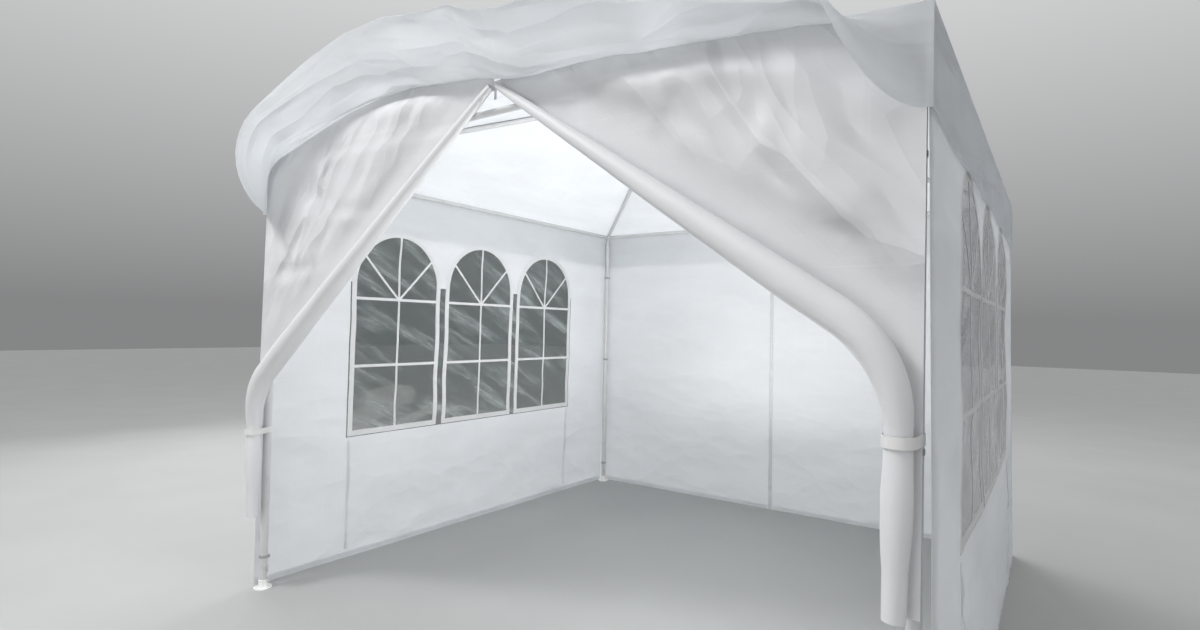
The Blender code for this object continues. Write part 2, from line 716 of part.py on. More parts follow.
def build_door_valance():
    """Strip over the door, turned up between its two hanging ends."""
    width = VALANCE_FACE - TOUCH_GAP
    points = []
    for share in door_shares():
        section = valance_section(door_turn(share))
        size = len(section)
        raised = door_lift(VALANCE_FACE, share * width)
        for k, (m, z) in enumerate(section):
            mitred = abs(share) == 1 or k in (0, size - 1)
            along = share * (m - TOUCH_GAP) if mitred else share * width
            points.append(at("front", m, along, z + raised))
    count = len(points) // size
    faces = [tuple(range(size)), tuple(reversed(range((count - 1) * size, count * size)))]
    for i in range(count - 1):
        for k in range(size):
            n = (k + 1) % size
            a, b, c, d = i * size + k, (i + 1) * size + k, (i + 1) * size + n, i * size + n
            if k < size // 2:
                faces += [(a, b, c), (a, c, d)]
            else:
                faces += [(a, b, d), (b, c, d)]
    return add_piece("valance_front", points, faces, "cloth")


def wall_section():
    """Closed section of a hanging wall, from its foot to the hem over the rail."""
    heights = [WALL_BOTTOM_HEIGHT, KNEE_HEIGHT, EAVE_HEIGHT - WALL_HEM_DROP, EAVE_HEIGHT + WALL_TOP_RISE]
    inner = [(wall_face(z), z) for z in heights]
    return inner + [(m + WALL_THICKNESS, z) for m, z in reversed(inner)]


def build_wall(name, side, start=None, end=None):
    """Hanging wall; an end is mitred at the corner or set at a place along the side."""
    rings = []
    for sign, place in ((-1, start), (1, end)):
        ring = []
        for m, z in wall_section():
            ring.append(at(side, m, sign * (m - TOUCH_GAP) if place is None else place, z))
        rings.append(ring)
    return lofted(name, rings, "cloth")


def window_row():
    """Length of the row of windows, with the clear strips between them."""
    return WINDOW_COUNT * WINDOW_WIDTH + (WINDOW_COUNT - 1) * WINDOW_STRIP + 2 * WINDOW_MARGIN


def window_outline():
    """Outline of the window opening as (along, height) pairs: a sill, and one arch over each light."""
    half = window_row() / 2
    outline = [(-half, WINDOW_SILL_HEIGHT), (half, WINDOW_SILL_HEIGHT), (half, WINDOW_SPRING_HEIGHT)]
    pitch = WINDOW_WIDTH + WINDOW_STRIP
    radius = WINDOW_WIDTH / 2
    for k in range(WINDOW_COUNT - 1, -1, -1):
        centre = (k - (WINDOW_COUNT - 1) / 2) * pitch
        for step in range(ARCH_STEPS + 1):
            angle = math.pi * step / ARCH_STEPS
            outline.append((centre + radius * math.cos(angle), WINDOW_SPRING_HEIGHT + radius * math.sin(angle)))
    outline.append((-half, WINDOW_SPRING_HEIGHT))
    return outline


def build_side_wall(side):
    """Side wall with its window opening."""
    wall = build_wall("wall_" + side, side)
    rings = []
    for distance in (HALF - 0.05, HALF + 0.15):
        rings.append([at(side, distance, s, z) for s, z in window_outline()])
    return combine(wall, [lofted("opening", rings, None)], "DIFFERENCE")


def build_film(side):
    """Clear film behind the windows, welded to the wall's inner face."""
    half = window_row() / 2 + FILM_OVERLAP
    low = WINDOW_SILL_HEIGHT - FILM_OVERLAP
    high = WINDOW_SPRING_HEIGHT + WINDOW_WIDTH / 2 + FILM_OVERLAP
    rings = []
    for inset in (TOUCH_GAP + FILM_THICKNESS, TOUCH_GAP):
        ring = []
        for s, z in ((-half, low), (half, low), (half, high), (-half, high)):
            ring.append(at(side, wall_face(z) - inset, s, z))
        rings.append(ring)
    return lofted("window_film_" + side, rings, "film")


def build_back_wall():
    """Rear wall in two halves with a closed zip between them."""
    edge = ZIP_WIDTH / 2 + TOUCH_GAP
    build_wall("wall_back_left", "back", start=edge)
    build_wall("wall_back_right", "back", end=-edge)
    half = ZIP_WIDTH / 2
    heights = [WALL_BOTTOM_HEIGHT, KNEE_HEIGHT, EAVE_HEIGHT - WALL_HEM_DROP, EAVE_HEIGHT + WALL_TOP_RISE]
    inner = [(wall_face(z), z) for z in heights]
    section = inner + [(m + WALL_THICKNESS, z) for m, z in reversed(inner)]
    rings = [[at("back", m, s, z) for m, z in section] for s in (-half, half)]
    return lofted("wall_back_zip", rings, "cloth")


def tie_height(sign):
    """Height of the tie on the left (-1) or right (+1) front leg."""
    return ROLL_TIE_HEIGHT_LEFT if sign < 0 else ROLL_TIE_HEIGHT_RIGHT


def roll_start(sign):
    """Place of a flap's inner edge at the top, counted outward from the tent's middle."""
    return ROLL_START_FROM_MIDDLE + sign * DOOR_MIDDLE


def roll_route(sign):
    """Route of a rolled flap as (along, height, radius): down the slant, round to the leg, then its tail."""
    top = ROLL_TOP
    end_along = HALF - ROLL_INSET
    tie = tie_height(sign)
    start = Vector((roll_start(sign), top))
    bend_end = Vector((end_along, tie + TIE_WIDTH))
    knee = bend_end + Vector((0, ROLL_BEND))
    slant = knee - start
    bend_start = knee - slant.normalized() * ROLL_BEND
    route = []
    for k in range(10):
        share = k / 10
        point = start.lerp(bend_start, share)
        radius = ROLL_TOP_RADIUS + (ROLL_FULL_RADIUS - ROLL_TOP_RADIUS) * min(1.0, share * 1.1) ** 0.8
        route.append((point.x, point.y, radius))
    for k in range(7):
        t = k / 6
        point = bend_start * (1 - t) ** 2 + knee * (2 * t * (1 - t)) + bend_end * t ** 2
        route.append((point.x, point.y, ROLL_FULL_RADIUS + (ROLL_TIED_RADIUS - ROLL_FULL_RADIUS) * t ** 2))
    low = tie - TIE_WIDTH
    route.append((end_along, low, ROLL_TIED_RADIUS))
    for k in range(1, 6):
        t = k / 5
        swell = ROLL_TIED_RADIUS + 0.006 * math.sin(math.pi * min(1.0, t * 1.4))
        radius = swell + (ROLL_TAIL_RADIUS - ROLL_TIED_RADIUS) * t
        route.append((end_along - 0.006 * t, low - ROLL_TAIL_LENGTH * t, radius))
    return route


def roll_axis_distance(height, radius):
    """How far out a roll's middle lies, so that it rests on the outer face of its flap."""
    face = max(wall_face(height), WALL_KNEE_FACE)
    return face + WALL_THICKNESS + TOUCH_GAP + radius / math.cos(math.pi / ROLL_SIDES)


def build_roll(name, sign):
    """Rolled part of a door flap, with the tail that hangs below its tie."""
    path, radii = [], []
    for along, height, radius in roll_route(sign):
        distance = roll_axis_distance(height, radius)
        if height < tie_height(sign) + TIE_WIDTH * 1.01:
            distance = roll_axis_distance(tie_height(sign), ROLL_TIED_RADIUS)
        path.append(at("front", distance, sign * along, height))
        radii.append(radius)
    return swept(name, path, radii, "cloth", ROLL_SIDES)


def build_flap(name, sign):
    """Flat part of a door flap, between the roof, the leg and its roll."""
    hem = EAVE_HEIGHT + WALL_TOP_RISE
    crown = door_lift(WALL_TOP_FACE, roll_start(sign))
    levels = []
    for part in (0.94, 0.75, 0.5, 0.28, 0.12, 0.03):
        levels.append((hem + crown * part, crown_reach(crown * part)))
    for height in (hem, EAVE_HEIGHT - WALL_HEM_DROP, KNEE_HEIGHT):
        levels.append((height, None))
    route = []
    for along, height, _ in roll_route(sign):
        if along > HALF - ROLL_INSET - TOUCH_GAP:
            break
        route.append((along, height))
    levels += [(height, None) for _, height in route if height < KNEE_HEIGHT - TOUCH_GAP]
    rings = []
    for height, reach in levels:
        inner = wall_face(height)
        outer = inner + WALL_THICKNESS
        along = route_place(route, height)
        ends = [reach or m - TOUCH_GAP for m in (inner, outer)]
        rings.append([
            at("front", inner, sign * along, height), at("front", inner, sign * ends[0], height),
            at("front", outer, sign * ends[1], height), at("front", outer, sign * along, height),
        ])
    return lofted(name, rings, "cloth")


def crown_reach(rise):
    """Place along the door side where the cloth's top edge stands a given rise above its hem."""
    full = door_lift(WALL_TOP_FACE, 0)
    return WALL_TOP_FACE * math.sqrt(1 - (rise / full) ** (2 / 3))


def route_place(route, height):
    """Place along the side where a roll's middle passes a height."""
    if height >= route[0][1]:
        return route[0][0]
    for (a, high), (b, low) in zip(route, route[1:]):
        if height >= low:
            return a + (b - a) * (high - height) / (high - low)
    return route[-1][0]


def build_tie(name, sign):
    """Band round a front leg and the rolled flap."""
    height = tie_height(sign)
    steps = 48
    grow = 1 / math.cos(math.pi / steps)
    circles = [
        (HALF, HALF, LEG_TUBE_RADIUS),
        (HALF - ROLL_INSET, roll_axis_distance(height, ROLL_TIED_RADIUS), ROLL_TIED_RADIUS),
    ]
    loops = []
    for extra in (TOUCH_GAP, TOUCH_GAP + TIE_THICKNESS):
        loop = []
        for k in range(steps):
            angle = 2 * math.pi * k / steps
            c, s = math.cos(angle), math.sin(angle)
            along, out, radius = max(circles, key=lambda q: q[0] * c + q[1] * s + q[2])
            reach = (radius + extra) * grow
            loop.append((along + c * reach, out + s * reach))
        loops.append(loop)
    points, faces = [], []
    for loop, z in ((loops[0], -1), (loops[1], -1), (loops[1], 1), (loops[0], 1)):
        for along, out in loop:
            points.append(at("front", out, sign * along, height + z * TIE_WIDTH / 2))
    for ring in range(4):
        for k in range(steps):
            n = (k + 1) % steps
            a, b = ring * steps, ((ring + 1) % 4) * steps
            faces.append((a + k, a + n, b + n, b + k))
    return add_piece(name, points, faces, "webbing")


def build_frame():
    """Legs, feet, clips, joints, rails and rafters."""
    for corner in CORNERS:
        build_upper_leg(corner)
        build_lower_leg(corner)
        build_foot(corner)
        build_clip(corner)
        build_corner(corner)
        build_rafter(corner)
    for side in SIDES:
        build_rail(side)
    build_hub()


def build_cover():
    """Roof, valances, walls, windows and the open door."""
    for side in ("back", "left", "right"):
        build_roof_panel(side)
        build_valance(side)
    build_door_slope()
    build_door_valance()
    for side in ("left", "right"):
        build_side_wall(side)
        build_film(side)
    build_back_wall()
    for word, sign in (("left", -1), ("right", 1)):
        build_flap("door_flap_" + word, sign)
        build_roll("door_roll_" + word, sign)
        build_tie("door_tie_" + word, sign)


clear_scene()
build_frame()
build_cover()
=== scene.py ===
"""Dresses the square party tent that the frame holds.

The cover, walls, windows, rolled door and small fittings are built here as cloth, film and trim.
The steel frame and the feet keep their solids and get their finishes here.
"""

import logging
import math
from dataclasses import dataclass, field
from enum import Enum
from typing import Callable, Iterable, Sequence

import bmesh
import bpy
import numpy as np
from mathutils import Matrix, Vector
from mathutils.geometry import delaunay_2d_cdt


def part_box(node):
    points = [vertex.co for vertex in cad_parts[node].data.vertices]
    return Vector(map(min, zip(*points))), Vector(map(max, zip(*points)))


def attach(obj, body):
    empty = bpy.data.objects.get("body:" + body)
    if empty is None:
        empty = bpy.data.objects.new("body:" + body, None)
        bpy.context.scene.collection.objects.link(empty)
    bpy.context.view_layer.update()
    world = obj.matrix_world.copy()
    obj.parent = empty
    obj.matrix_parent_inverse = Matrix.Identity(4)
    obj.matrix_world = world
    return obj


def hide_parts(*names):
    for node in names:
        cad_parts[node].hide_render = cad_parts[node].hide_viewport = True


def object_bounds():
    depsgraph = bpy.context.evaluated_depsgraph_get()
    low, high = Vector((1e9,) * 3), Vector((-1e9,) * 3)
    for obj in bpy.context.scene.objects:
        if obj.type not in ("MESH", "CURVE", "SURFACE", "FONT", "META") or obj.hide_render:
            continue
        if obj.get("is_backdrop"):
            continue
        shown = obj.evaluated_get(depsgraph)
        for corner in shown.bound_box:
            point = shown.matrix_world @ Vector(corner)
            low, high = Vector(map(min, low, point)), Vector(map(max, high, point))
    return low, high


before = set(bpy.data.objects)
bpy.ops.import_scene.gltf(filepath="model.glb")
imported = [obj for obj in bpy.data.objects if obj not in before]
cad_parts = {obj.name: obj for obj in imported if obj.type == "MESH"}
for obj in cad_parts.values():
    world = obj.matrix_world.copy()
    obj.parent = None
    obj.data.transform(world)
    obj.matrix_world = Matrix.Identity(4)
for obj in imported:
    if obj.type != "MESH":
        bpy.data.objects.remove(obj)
CAD_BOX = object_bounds()
LOG = logging.getLogger("tent")

# An array of numbers, or of points, one a row.
Points = np.ndarray
# Places along a sheet and up it, in metres.
Path = list[tuple[float, float]]
Triple = tuple[float, float, float]
Colour = Triple
Item = bpy.types.Object
Material = bpy.types.Material
Node = bpy.types.Node
Socket = bpy.types.NodeSocket
Tree = bpy.types.NodeTree
COVER_BODY = "frame_and_cover"
CLOTH_THICKNESS = 0.0012


class Side(Enum):
    """The four sides of the tent, each with its outward and sideways directions."""

    FRONT = ((0.0, -1.0, 0.0), (1.0, 0.0, 0.0))
    BACK = ((0.0, 1.0, 0.0), (-1.0, 0.0, 0.0))
    LEFT = ((-1.0, 0.0, 0.0), (0.0, -1.0, 0.0))
    RIGHT = ((1.0, 0.0, 0.0), (0.0, 1.0, 0.0))

    @property
    def word(self) -> str:
        """The side's name as the frame's nodes use it."""
        return self.name.lower()

    @property
    def outward(self) -> np.ndarray:
        """Unit vector out of the tent."""
        return np.array(self.value[0])

    @property
    def lateral(self) -> np.ndarray:
        """Unit vector along the side."""
        return np.array(self.value[1])


class Hand(Enum):
    """The two flaps of the door, seen from in front of it."""

    LEFT = -1
    RIGHT = 1

    @property
    def word(self) -> str:
        """The flap's name as the frame's nodes use it."""
        return self.name.lower()


@dataclass(frozen=True)
class Plan:
    """Main sizes of the tent, read from the fixed frame, and the shapes that follow from them."""

    half: float
    eave: float
    rise: float
    middle_y: float
    leg_radius: float
    rail_radius: float
    foot_face: float
    hem_bottom: float
    valance_bottom: float
    touch_gap: float = 0.0003
    cloth: float = 0.004
    knee_drop: float = 0.042
    hem_drop: float = 0.030
    top_rise: float = 0.004
    valance_stand_off: float = 0.032
    door_lift_height: float = 0.10
    door_turn_angle: float = math.radians(118)
    door_bend: float = 0.030
    door_taper: float = 0.32
    slack_height: float = 0.090
    slack_reach: float = 1.15
    round_power: float = 1.5
    slack_power: float = 1.2

    @classmethod
    def from_frame(cls, hub_cap: float = 0.010) -> "Plan":
        """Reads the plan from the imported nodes.

        Args:
            hub_cap: height of the peak hub's cap above the rafters' meeting point.

        Returns:
            The plan of the tent.
        """
        leg_low, leg_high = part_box("leg_upper_front_left")
        back_low, back_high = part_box("leg_upper_back_left")
        rail_low, rail_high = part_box("eave_rail_back")
        wall_low, wall_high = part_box("wall_left")
        eave = (rail_low.z + rail_high.z) / 2
        return cls(
            half=-(leg_low.x + leg_high.x) / 2,
            eave=eave,
            rise=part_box("peak_hub")[1].z - hub_cap - eave,
            middle_y=(leg_low.y + leg_high.y + back_low.y + back_high.y) / 4,
            leg_radius=(leg_high.x - leg_low.x) / 2,
            rail_radius=(rail_high.z - rail_low.z) / 2,
            foot_face=-wall_low.x - cls.cloth,
            hem_bottom=wall_low.z,
            valance_bottom=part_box("valance_back")[0].z,
        )

    @property
    def slope(self) -> float:
        """Rise of the roof for each metre inwards."""
        return self.rise / self.half

    @property
    def slope_cosine(self) -> float:
        """Level length of one metre up the roof."""
        return math.cos(math.atan(self.slope))

    @property
    def over_rail(self) -> float:
        """Height of the roof's underside over the eave rail's axis."""
        return (self.rail_radius + self.touch_gap) / self.slope_cosine

    @property
    def top_face(self) -> float:
        """Distance of the walls' inner face beside the eave rail."""
        return self.half + self.rail_radius + self.touch_gap

    @property
    def knee_face(self) -> float:
        """Distance of the walls' inner face beside the legs."""
        return self.half + self.leg_radius + self.touch_gap

    @property
    def valance_face(self) -> float:
        """Distance of the valances' inner face."""
        return self.half + self.valance_stand_off

    @property
    def eave_face(self) -> float:
        """Distance of the roof's edge."""
        return self.valance_face + self.cloth

    def at(self, side: Side, distance: Points, along: Points, height: Points) -> Points:
        """World points on a side.

        Args:
            side: the side that the points belong to.
            distance: outward distance from the tent's middle.
            along: place along the side.
            height: height above the floor.

        Returns:
            An array of points, one a row.
        """
        distance, along, height = np.broadcast_arrays(distance, along, height)
        points = distance[..., None] * side.outward + along[..., None] * side.lateral
        points[..., 1] += self.middle_y
        points[..., 2] += height
        return points

    def wall_face(self, height: Points) -> Points:
        """Distance of a wall's inner face at a height."""
        knee, hem = self.eave - self.knee_drop, self.eave - self.hem_drop
        steps = [self.hem_bottom, knee, hem, self.eave + self.top_rise]
        return np.interp(height, steps, [self.foot_face, self.knee_face, self.top_face, self.top_face])

    def roof_under(self, distance: Points) -> Points:
        """Height of the roof's underside at a distance from the middle."""
        return self.eave + (self.half - distance) * self.slope + self.over_rail

    def door_raise(self, distance: Points, share: Points) -> Points:
        """How far the roof over the door stands above the plain slope.

        Args:
            distance: distance from the tent's middle.
            share: place along the side, from -1 at one hip to 1 at the other.

        Returns:
            Heights over the plain slope.
        """
        round_share = np.clip(1 - share * share, 0, 1) ** self.round_power
        slack_share = np.clip((share + 1) / self.slack_reach, 0, 1)
        slack = np.sin(math.pi * slack_share) ** self.slack_power
        lift = self.door_lift_height * round_share + self.slack_height * slack
        return lift * (distance / self.eave_face) ** 2

    def door_turn(self, share: Points) -> Points:
        """Angle by which the valance over the door is turned up, at shares of the side from -1 to 1."""
        blend = np.clip((1 - np.abs(share)) * self.valance_face / self.door_taper, 0, 1)
        return self.door_turn_angle * blend * blend * (3 - 2 * blend)


# Odd numbers that scatter the noise's cells, and the bits that are kept of them.
SCATTER_X, SCATTER_Y, SCATTER_SEED, SCATTER_MIX = 374761393, 668265263, 974634777, 1274126177
SCATTER_BITS, VALUE_BITS = 0xFFFFFFFF, 0xFFFF


def eased(part: Points) -> Points:
    """Shares from 0 to 1, made level at both ends."""
    return part * part * (3 - 2 * part)


def fade_in(value: Points, start: float, end: float) -> Points:
    """Smooth step from 0 at start to 1 at end."""
    return eased(np.clip((value - start) / (end - start), 0, 1))


def soft_noise(x: Points, y: Points, seed: int) -> Points:
    """Smooth noise over a plane.

    Args:
        x: first coordinate, one unit for each bump.
        y: second coordinate.
        seed: chooses the pattern.

    Returns:
        Values from -1 to 1.
    """
    x, y = np.broadcast_arrays(np.asarray(x, float), np.asarray(y, float))
    cell_x, cell_y = np.floor(x).astype(np.int64), np.floor(y).astype(np.int64)
    part_x, part_y = eased(x - cell_x), eased(y - cell_y)

    def corner(i: int, j: int) -> Points:
        """Value from -1 to 1 at one corner of each cell."""
        mix = (cell_x + i) * SCATTER_X + (cell_y + j) * SCATTER_Y + seed * SCATTER_SEED
        mix = mix & SCATTER_BITS
        mix = ((mix ^ (mix >> 13)) * SCATTER_MIX) & SCATTER_BITS
        return ((mix ^ (mix >> 16)) & VALUE_BITS) / (VALUE_BITS / 2) - 1

    low = corner(0, 0) * (1 - part_x) + corner(1, 0) * part_x
    high = corner(0, 1) * (1 - part_x) + corner(1, 1) * part_x
    return low * (1 - part_y) + high * part_y


@dataclass(frozen=True)
class Wave:
    """Soft waves in cloth: their height, and on both axes how many bumps lie in a metre of x and y."""

    height: float
    across: tuple[float, float]
    upward: tuple[float, float]
    seed: int

    def at(self, x: Points, y: Points) -> Points:
        """Height of the waves at places along and up the cloth, in metres."""
        first, second = (x * pair[0] + y * pair[1] for pair in (self.across, self.upward))
        return self.height * soft_noise(first, second, self.seed)


@dataclass(frozen=True)
class Creases:
    """A set of fold lines in cloth, all leaning about one way: pinched, or folded with flat flanks."""

    seed: int
    count: int
    lean: float
    spread: float
    length: float
    width: float
    depth: float
    folded: bool = False
    length_range: tuple[float, float] = (0.5, 1.5)
    width_range: tuple[float, float] = (0.5, 1.6)
    depth_range: tuple[float, float] = (0.3, 1.0)
    bow: float = 0.08
    flank_widths: float = 3.0

    def height(self, x: Points, y: Points) -> Points:
        """Height of the creases over a plane.

        Args:
            x: place along the cloth, in metres.
            y: place up the cloth, in metres.

        Returns:
            Height of the cloth out of its plane.
        """
        draw = np.random.default_rng(self.seed)
        low_x, high_x, low_y, high_y = x.min(), x.max(), y.min(), y.max()
        total = np.zeros_like(x, dtype=float)
        for _ in range(self.count):
            place_x, place_y = draw.uniform(low_x, high_x), draw.uniform(low_y, high_y)
            angle = self.lean + draw.normal() * self.spread
            length = self.length * draw.uniform(*self.length_range)
            width = self.width * draw.uniform(*self.width_range)
            depth = self.depth * draw.uniform(*self.depth_range) * draw.choice((-1, 1))
            cosine, sine = math.cos(angle), math.sin(angle)
            run = (x - place_x) * cosine + (y - place_y) * sine
            off = (y - place_y) * cosine - (x - place_x) * sine
            bend = off - self.bow * run * run / length
            fade = np.clip(1 - (run / length) ** 2, 0, 1) ** 2
            flank = np.abs(bend) / width
            profile = np.clip(1 - flank / self.flank_widths, 0, 1) if self.folded else np.exp(-flank)
            total += depth * fade * profile
        return total


def inside(points: Points, rings: Sequence[Points]) -> Points:
    """Tells which points lie inside an outline and outside the holes in it.

    Args:
        points: plane points, one a row.
        rings: corners of the outline and then of each hole, in order.

    Returns:
        One truth value for each point.
    """
    result = np.zeros(len(points), bool)
    x, y = points[:, 0], points[:, 1]
    for ring in rings:
        for (ax, ay), (bx, by) in zip(ring, np.roll(ring, -1, axis=0)):
            if ay == by:
                continue
            crosses = (ay > y) != (by > y)
            result ^= crosses & (x < (bx - ax) * (y - ay) / (by - ay) + ax)
    return result


def enclosed(outline: Points) -> float:
    """Area inside a closed outline."""
    following = np.roll(outline, -1, axis=0)
    return abs(float((outline[:, 0] * following[:, 1] - following[:, 0] * outline[:, 1]).sum() / 2))


def divided(outline: Points, spacing: float) -> Points:
    """Adds points to an outline, so that none lie further apart than the spacing.

    Args:
        outline: corners of the outline in order.
        spacing: largest step that is left.

    Returns:
        The outline's points, old and new.
    """
    rows = []
    for a, b in zip(outline, np.roll(outline, -1, axis=0)):
        steps = max(1, math.ceil(float(np.linalg.norm(b - a)) / spacing))
        rows += [a + (b - a) * k / steps for k in range(steps)]
    return np.array(rows)


def cut_cloth(
    outline: Points, holes: Sequence[Points], spacing: float, clearance: float = 0.55, merge: float = 1e-7,
) -> tuple[Points, list]:
    """Flat cloth with openings, as a net of triangles.

    Args:
        outline: corners of the cloth.
        holes: corners of each opening.
        spacing: size of the net.
        clearance: share of the spacing that stays free beside the outlines' points.
        merge: points closer than this are one.

    Returns:
        Plane points and the faces between them.
    """
    rings = [divided(np.asarray(ring, float), spacing) for ring in (outline, *holes)]
    low, high = rings[0].min(0), rings[0].max(0)
    counts = np.maximum(2, np.round((high - low) / spacing).astype(int))
    grid_x, grid_y = np.meshgrid(*(np.linspace(low[k], high[k], counts[k] + 1) for k in (0, 1)))
    grid = np.stack([grid_x.ravel(), grid_y.ravel()], 1)
    keep = inside(grid, rings)
    for point in np.concatenate(rings):
        near = np.abs(grid - point).max(1) < spacing * clearance
        keep &= ~near
    edges, start = [], 0
    for ring in rings:
        edges += [(start + k, start + (k + 1) % len(ring)) for k in range(len(ring))]
        start += len(ring)
    points = np.concatenate([*rings, grid[keep]])
    result = delaunay_2d_cdt([Vector(p) for p in points], edges, [], 0, merge)
    flat = np.array([tuple(p) for p in result[0]])
    faces = [tuple(face) for face in result[2]]
    middles = np.array([flat[list(face)].mean(0) for face in faces])
    return flat, [face for face, good in zip(faces, inside(middles, rings)) if good]


def grid_faces(rows: int, columns: int, start: int = 0) -> list[tuple[int, int, int, int]]:
    """Faces of a net of points stored row by row.

    Args:
        rows: number of rows.
        columns: points in a row.
        start: number of the first point.

    Returns:
        Corner numbers of each face.
    """
    corners = [start + i * columns + j for i in range(rows - 1) for j in range(columns - 1)]
    return [(k, k + 1, k + columns + 1, k + columns) for k in corners]


def placed(name: str, data: bpy.types.ID) -> Item:
    """Adds a mesh, a light or a camera to the scene as an object."""
    item = bpy.data.objects.new(name, data)
    bpy.context.scene.collection.objects.link(item)
    return item


def add_mesh(name: str, points: Points, faces: list, uv: Points | None = None) -> Item:
    """Adds an object whose points are already in place.

    Args:
        name: the object's name.
        points: world points, one a row.
        faces: corner numbers of each face.
        uv: pattern coordinates in metres, one pair for each point.

    Returns:
        The new object.
    """
    mesh = bpy.data.meshes.new(name)
    mesh.from_pydata(np.asarray(points).tolist(), [], faces)
    if uv is not None:
        corners = np.zeros(len(mesh.loops), int)
        mesh.loops.foreach_get("vertex_index", corners)
        layer = mesh.uv_layers.new(name="cloth")
        layer.data.foreach_set("uv", np.asarray(uv, np.float32)[corners].ravel())
    return placed(name, mesh)


def add_shape(name: str, shape: bmesh.types.BMesh) -> Item:
    """Adds an object from a finished bmesh, which is freed.

    Args:
        name: the object's name.
        shape: the bmesh, with its points in place.

    Returns:
        The new object.
    """
    mesh = bpy.data.meshes.new(name)
    shape.to_mesh(mesh)
    shape.free()
    return placed(name, mesh)


def mark_loose(item: Item, loose: Points) -> None:
    """Notes at each point how loose the cloth is, from 0 to 1, for its finish to read."""
    marks = item.data.attributes.new("loose", "FLOAT", "POINT")
    marks.data.foreach_set("value", loose.astype(np.float32))


def evaluated_mesh(item: Item) -> None:
    """Makes what an object's modifiers show its own mesh, and takes the modifiers off."""
    bpy.context.view_layer.update()
    graph = bpy.context.evaluated_depsgraph_get()
    shaped = bpy.data.meshes.new_from_object(item.evaluated_get(graph))
    item.modifiers.clear()
    item.data = shaped
    shaped.name = item.name


def shade(item: Item, sharp: float = 40.0) -> None:
    """Smooth shading that keeps edges above an angle sharp, in degrees."""
    item.data.shade_smooth()
    item.data.set_sharp_from_angle(angle=math.radians(sharp))


def thicken(item: Item, thickness: float) -> None:
    """Gives a sheet its two faces, half the thickness to each side of where it lies."""
    step = item.modifiers.new("thickness", "SOLIDIFY")
    step.thickness = thickness
    step.offset = 0
    evaluated_mesh(item)
    shade(item)


def dress(item: Item, material: Material, body: str = COVER_BODY) -> None:
    """Gives a piece its finish and the body that it rides on.

    Args:
        item: the piece.
        material: its finish.
        body: the body that it moves with.
    """
    item.data.materials.clear()
    item.data.materials.append(material)
    for face in item.data.polygons:
        face.material_index = 0
    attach(item, body)


def ribbon(path: Path, width: float, sharpest: float = 0.3) -> tuple[Points, list]:
    """Flat strip along a path.

    Args:
        path: plane points along the strip's middle.
        width: width of the strip.
        sharpest: smallest cosine at a corner for which the strip still keeps its width.

    Returns:
        Plane points and the faces between them.
    """
    line = np.asarray(path, float)
    steps = unit(np.diff(line, axis=0))
    normals = np.stack([-steps[:, 1], steps[:, 0]], 1)
    joined = unit(np.concatenate([normals[:1], normals[:-1] + normals[1:], normals[-1:]]))
    stretch = np.ones(len(line))
    stretch[1:-1] = 1 / np.maximum(sharpest, (joined[1:-1] * normals[1:]).sum(1))
    offset = joined * (width / 2 * stretch)[:, None]
    points = np.stack([line - offset, line + offset], 1).reshape(-1, 2)
    return points, [(2 * k, 2 * k + 2, 2 * k + 3, 2 * k + 1) for k in range(len(line) - 1)]


def unit(rows: Points) -> Points:
    """Vectors, one a row, made one unit long."""
    return rows / np.linalg.norm(rows, axis=1)[:, None]


def straight(a: tuple[float, float], b: tuple[float, float], spacing: float = 0.03) -> Path:
    """Straight path with points along it, so that it can follow wavy cloth."""
    steps = max(1, math.ceil(math.dist(a, b) / spacing))
    return [(a[0] + (b[0] - a[0]) * k / steps, a[1] + (b[1] - a[1]) * k / steps) for k in range(steps + 1)]


def strips(
    name: str, place: Callable[[Points, Points], Points], lines: Iterable[tuple[Path, float]],
    thickness: float, finish: Material,
) -> Item:
    """Makes flat strips, bands or bars that lie on a sheet.

    Args:
        name: the piece's name.
        place: gives the sheet's world points at places along and up it.
        lines: path and width of each strip.
        thickness: thickness of the strips.
        finish: their finish.

    Returns:
        All of them as one piece.
    """
    points, faces, uv = [], [], []
    for path, width in lines:
        flat, between = ribbon(path, width)
        start = sum(len(p) for p in uv)
        points.append(place(flat[:, 0], flat[:, 1]))
        uv.append(flat)
        faces += [tuple(start + k for k in face) for face in between]
    item = add_mesh(name, np.concatenate(points), faces, np.concatenate(uv))
    thicken(item, thickness)
    dress(item, finish)
    return item


